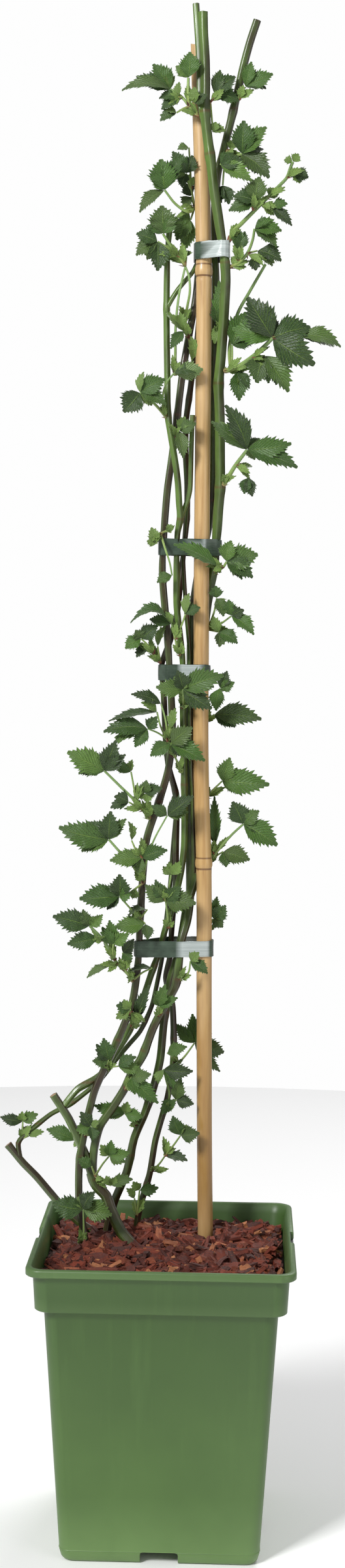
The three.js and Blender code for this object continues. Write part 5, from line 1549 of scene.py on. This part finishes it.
# %% [markdown]
# ## Leaf material
# The upper face is mid to deep green with pale sunken veins; the underside is grey-green and
# downy. The vein pattern is drawn on the leaflet's own map: one line along the middle, and
# slanting lines that sweep towards the tip. Young leaflets are lighter.

# %% Leaf material
leaf_green, tree, shader = new_material("leaf_green")
uv_map = node(tree, "UVMap").outputs[0]
parts = node(tree, "SeparateXYZ", Vector=uv_map)
lengthwise = parts.outputs["X"]
from_middle = maths(tree, "ABSOLUTE", maths(tree, "SUBTRACT", parts.outputs["Y"], 0.5))
off_middle = maths(tree, "MULTIPLY", from_middle, 2.0)
swept = maths(tree, "SUBTRACT", lengthwise, maths(tree, "MULTIPLY", off_middle, 0.3))
beat = maths(tree, "PINGPONG", maths(tree, "MULTIPLY", swept, 11.0), 0.5)
side_vein = ramp(tree, beat, [(0.0, grey(1)), (0.16, grey(0))])
midrib = ramp(tree, off_middle, [(0.02, grey(1)), (0.07, grey(0))])
veins = mix(tree, 1.0, side_vein, midrib, "LIGHTEN")
fine = noise(tree, node(tree, "Mapping", Vector=uv_map, Scale=(30, 22, 1)).outputs[0], 1.0, 3.0)
where = object_place(tree)
cloud = noise(tree, where, 60.0, 3.0)
tone = attribute(tree, "tone")
young = attribute(tree, "young")
under = attribute(tree, "underside")
upper = ramp(tree, tone, [
    (0.0, srgb(14, 34, 8)), (0.35, srgb(24, 52, 11)), (0.7, srgb(38, 72, 15)), (1.0, srgb(66, 104, 28)),
])
mottled = mix(tree, ramp(tree, fine, [(0.4, grey(0)), (0.8, grey(0.4))]), upper, srgb(96, 134, 48))
fresh = mix(tree, maths(tree, "MULTIPLY", young, 0.65, True), mottled, srgb(122, 152, 70))
veined = mix(tree, maths(tree, "MULTIPLY", veins, 0.3), fresh, srgb(134, 166, 66))
below = mix(tree, maths(tree, "MULTIPLY", veins, 0.35), srgb(92, 118, 58), srgb(132, 154, 90))
both = mix(tree, under, veined, below)
tree.links.new(both, shader.inputs["Base Color"])
tree.links.new(ramp(tree, cloud, [(0.3, grey(0.36)), (0.7, grey(0.55))]), shader.inputs["Roughness"])
hollow = maths(tree, "MULTIPLY", veins, -1.0)
fold_relief = bump(tree, maths(tree, "ADD", hollow, maths(tree, "MULTIPLY", fine, 0.35)), 0.0011, 0.8)
tree.links.new(fold_relief, shader.inputs["Normal"])
shader.inputs["Subsurface Weight"].default_value = 0.1
shader.inputs["Subsurface Radius"].default_value = (0.001, 0.002, 0.0005)
shader.inputs["Sheen Weight"].default_value = 0.12
print("leaf material nodes:", len(tree.nodes))

# %% [markdown]
# ## Stalks, buds and stipules
# A leaf stalk is thin, downy and yellow-green, reddish where it leaves the cane. At its foot
# sit the dry red-brown scales of the bud it grew from. A scale is a flattened cone, and each
# shoot's foot gets a few of them, spread round the stalk.

# %% Stalk and scale materials
stalk_green, tree, shader = new_material("stalk_green")
where = object_place(tree)
run = attribute(tree, "along")
hair = noise(tree, where, 1500.0, 3.0)
cloud = noise(tree, where, 80.0, 2.0)
colour = ramp(tree, maths(tree, "MULTIPLY", run, 28.0), [
    (0.0, srgb(128, 96, 62)), (0.12, srgb(128, 146, 70)),
    (0.5, srgb(124, 152, 78)), (1.0, srgb(112, 142, 78)),
])
downy = mix(tree, ramp(tree, hair, [(0.5, grey(0)), (0.75, grey(0.45))]), colour, srgb(176, 192, 140))
shaded = mix(tree, ramp(tree, cloud, [(0.5, grey(0)), (0.8, grey(0.4))]), downy, srgb(92, 116, 60))
tree.links.new(shaded, shader.inputs["Base Color"])
tree.links.new(bump(tree, hair, 0.0003, 0.6), shader.inputs["Normal"])
shader.inputs["Roughness"].default_value = 0.55
shader.inputs["Sheen Weight"].default_value = 0.2

scale_brown, tree, shader = new_material("bud_scale")
where = object_place(tree)
tone = attribute(tree, "tone")
fleck = noise(tree, where, 600.0, 4.0)
colour = ramp(tree, tone, [
    (0.0, srgb(70, 38, 28)), (0.5, srgb(122, 66, 48)), (0.75, srgb(150, 98, 70)), (0.8, srgb(120, 140, 74)),
])
dry = mix(tree, ramp(tree, fleck, [(0.45, grey(0)), (0.75, grey(0.5))]), colour, srgb(58, 34, 26))
tree.links.new(dry, shader.inputs["Base Color"])
tree.links.new(bump(tree, fleck, 0.0006, 0.6), shader.inputs["Normal"])
shader.inputs["Roughness"].default_value = 0.7
print("materials:", stalk_green.name, scale_brown.name)

# %% Bud scale shape
only()
bpy.ops.mesh.primitive_cone_add(vertices=6, radius1=0.5, radius2=0.06, depth=1, location=(0, 0, 0.5))
scale_shape = named("bud_scale")
settle(scale_shape)
edit(scale_shape)
bpy.ops.mesh.select_all(action="SELECT")
bpy.ops.mesh.subdivide(number_cuts=1, smoothness=0.6)
bpy.ops.transform.resize(value=(1, 0.45, 1), center_override=(0, 0, 0))
bpy.ops.object.mode_set(mode="OBJECT")
smooth(scale_shape, 60)
print("faces of a bud scale:", len(scale_shape.data.polygons))


def bud_scales(foot, towards, count, size):
    """Small dry scales that hug the foot of a stalk."""
    found = []
    for i in range(count):
        turn = 2 * math.pi * (i + plant_dice.random()) / count
        lean = (towards - foot).normalized()
        aside = lean.orthogonal().normalized()
        aside.rotate(Matrix.Rotation(turn, 3, lean))
        way = (lean + aside * plant_dice.uniform(0.35, 0.9)).normalized()
        pose = way.to_track_quat("Z", "Y").to_matrix()
        stretch = np.array([size * 0.6, size * 0.6, size * plant_dice.uniform(0.8, 1.7)])
        piece = copy_of(scale_shape, "scale")
        local = points_of(piece) * stretch
        start = np.array(foot + aside * 0.25 * size)
        set_points(piece, local @ np.array(pose).T + start)
        mark(piece, "tone", plant_dice.random())
        piece.data.materials.append(scale_brown)
        found.append(piece)
    return found


# %% Young leaves at a shoot's foot
def stipules(foot, towards, radius):
    """Narrow pale leaves that stand close round the foot of a shoot."""
    found = []
    for _ in range(4):
        lean = (towards - foot).normalized()
        aside = lean.orthogonal().normalized()
        aside.rotate(Matrix.Rotation(plant_dice.uniform(0, 6.28), 3, lean))
        start = foot + lean * radius * 1.5 * MM
        tip = start + (lean + aside * plant_dice.uniform(0.25, 0.8)) * plant_dice.uniform(7, 15) * MM
        found.append(blade(start, tip, plant_dice.uniform(2.6, 5.0), 10, 0.1))
        mark(found[-1], "young", 1.5)
    return found


# %% Second leaves behind the first
def back_leaves(joint, blades):
    """Smaller leaflets behind and between a leaf's big ones. Their tips end short of the big ones'."""
    found = []
    tips = [place(list(given[:3])) for given in blades]
    for i, given in enumerate(blades):
        if given[3] < BACK_LEAF_FROM:
            continue
        other = tips[(i + 1) % len(tips)]
        share = plant_dice.uniform(0.45, 0.65)
        tip = joint + (tips[i] - joint) * share + (other - joint) * (0.85 - share)
        tip.y += plant_dice.uniform(4, 9) * MM
        found.append(blade(joint, tip, given[3] * plant_dice.uniform(0.5, 0.7), 25, 0.1))
    return found


# %% [markdown]
# ## The shoots
# A shoot is a few stalks, each ending in a joint where its leaflets meet. The first stalk
# starts at the cane and gets the bud scales. All of a shoot's pieces are joined, because on the
# plant they are one growth.

# %% Grow the shoots
def stalk_piece(stalk, radius):
    route = smooth_route([place(p) for p in stalk], 1.8 * MM)
    run = lengths_along(route)
    radii = [radius * MM * (1.15 - 0.35 * min(1.0, d / run[-1])) for d in run]
    piece = stem("stalk", route, radii, "stalk")
    piece.data.materials.append(stalk_green)
    return piece


def shoot(name, leaves):
    parts, feet = [], []
    for stalk, blades, *given in leaves:
        radius = given[0] if given else 0.9
        parts.append(stalk_piece(stalk, radius))
        joint = place(stalk[-1])
        parts += [leaflet(joint, *given_blade) for given_blade in blades]
        parts += back_leaves(joint, blades)
        foot = place(stalk[0])
        if all((foot - other).length > 1.5 * MM for other in feet):
            feet.append(foot)
            parts += bud_scales(foot, place(stalk[1]), 4, 3.2 * MM)
            parts += stipules(foot, place(stalk[1]), radius)
    piece = join(name + "_leaves", parts)
    smooth(piece, 50)
    belongs(piece, name)
    return piece


shoots = {name: shoot(name, leaves) for name, leaves in SHOOTS.items()}
for template in (big_leaflet, small_leaflet, scale_shape, *SECTIONS.values()):
    bpy.data.objects.remove(template)
print("shoots:", len(shoots), "faces:", sum(len(s.data.polygons) for s in shoots.values()))
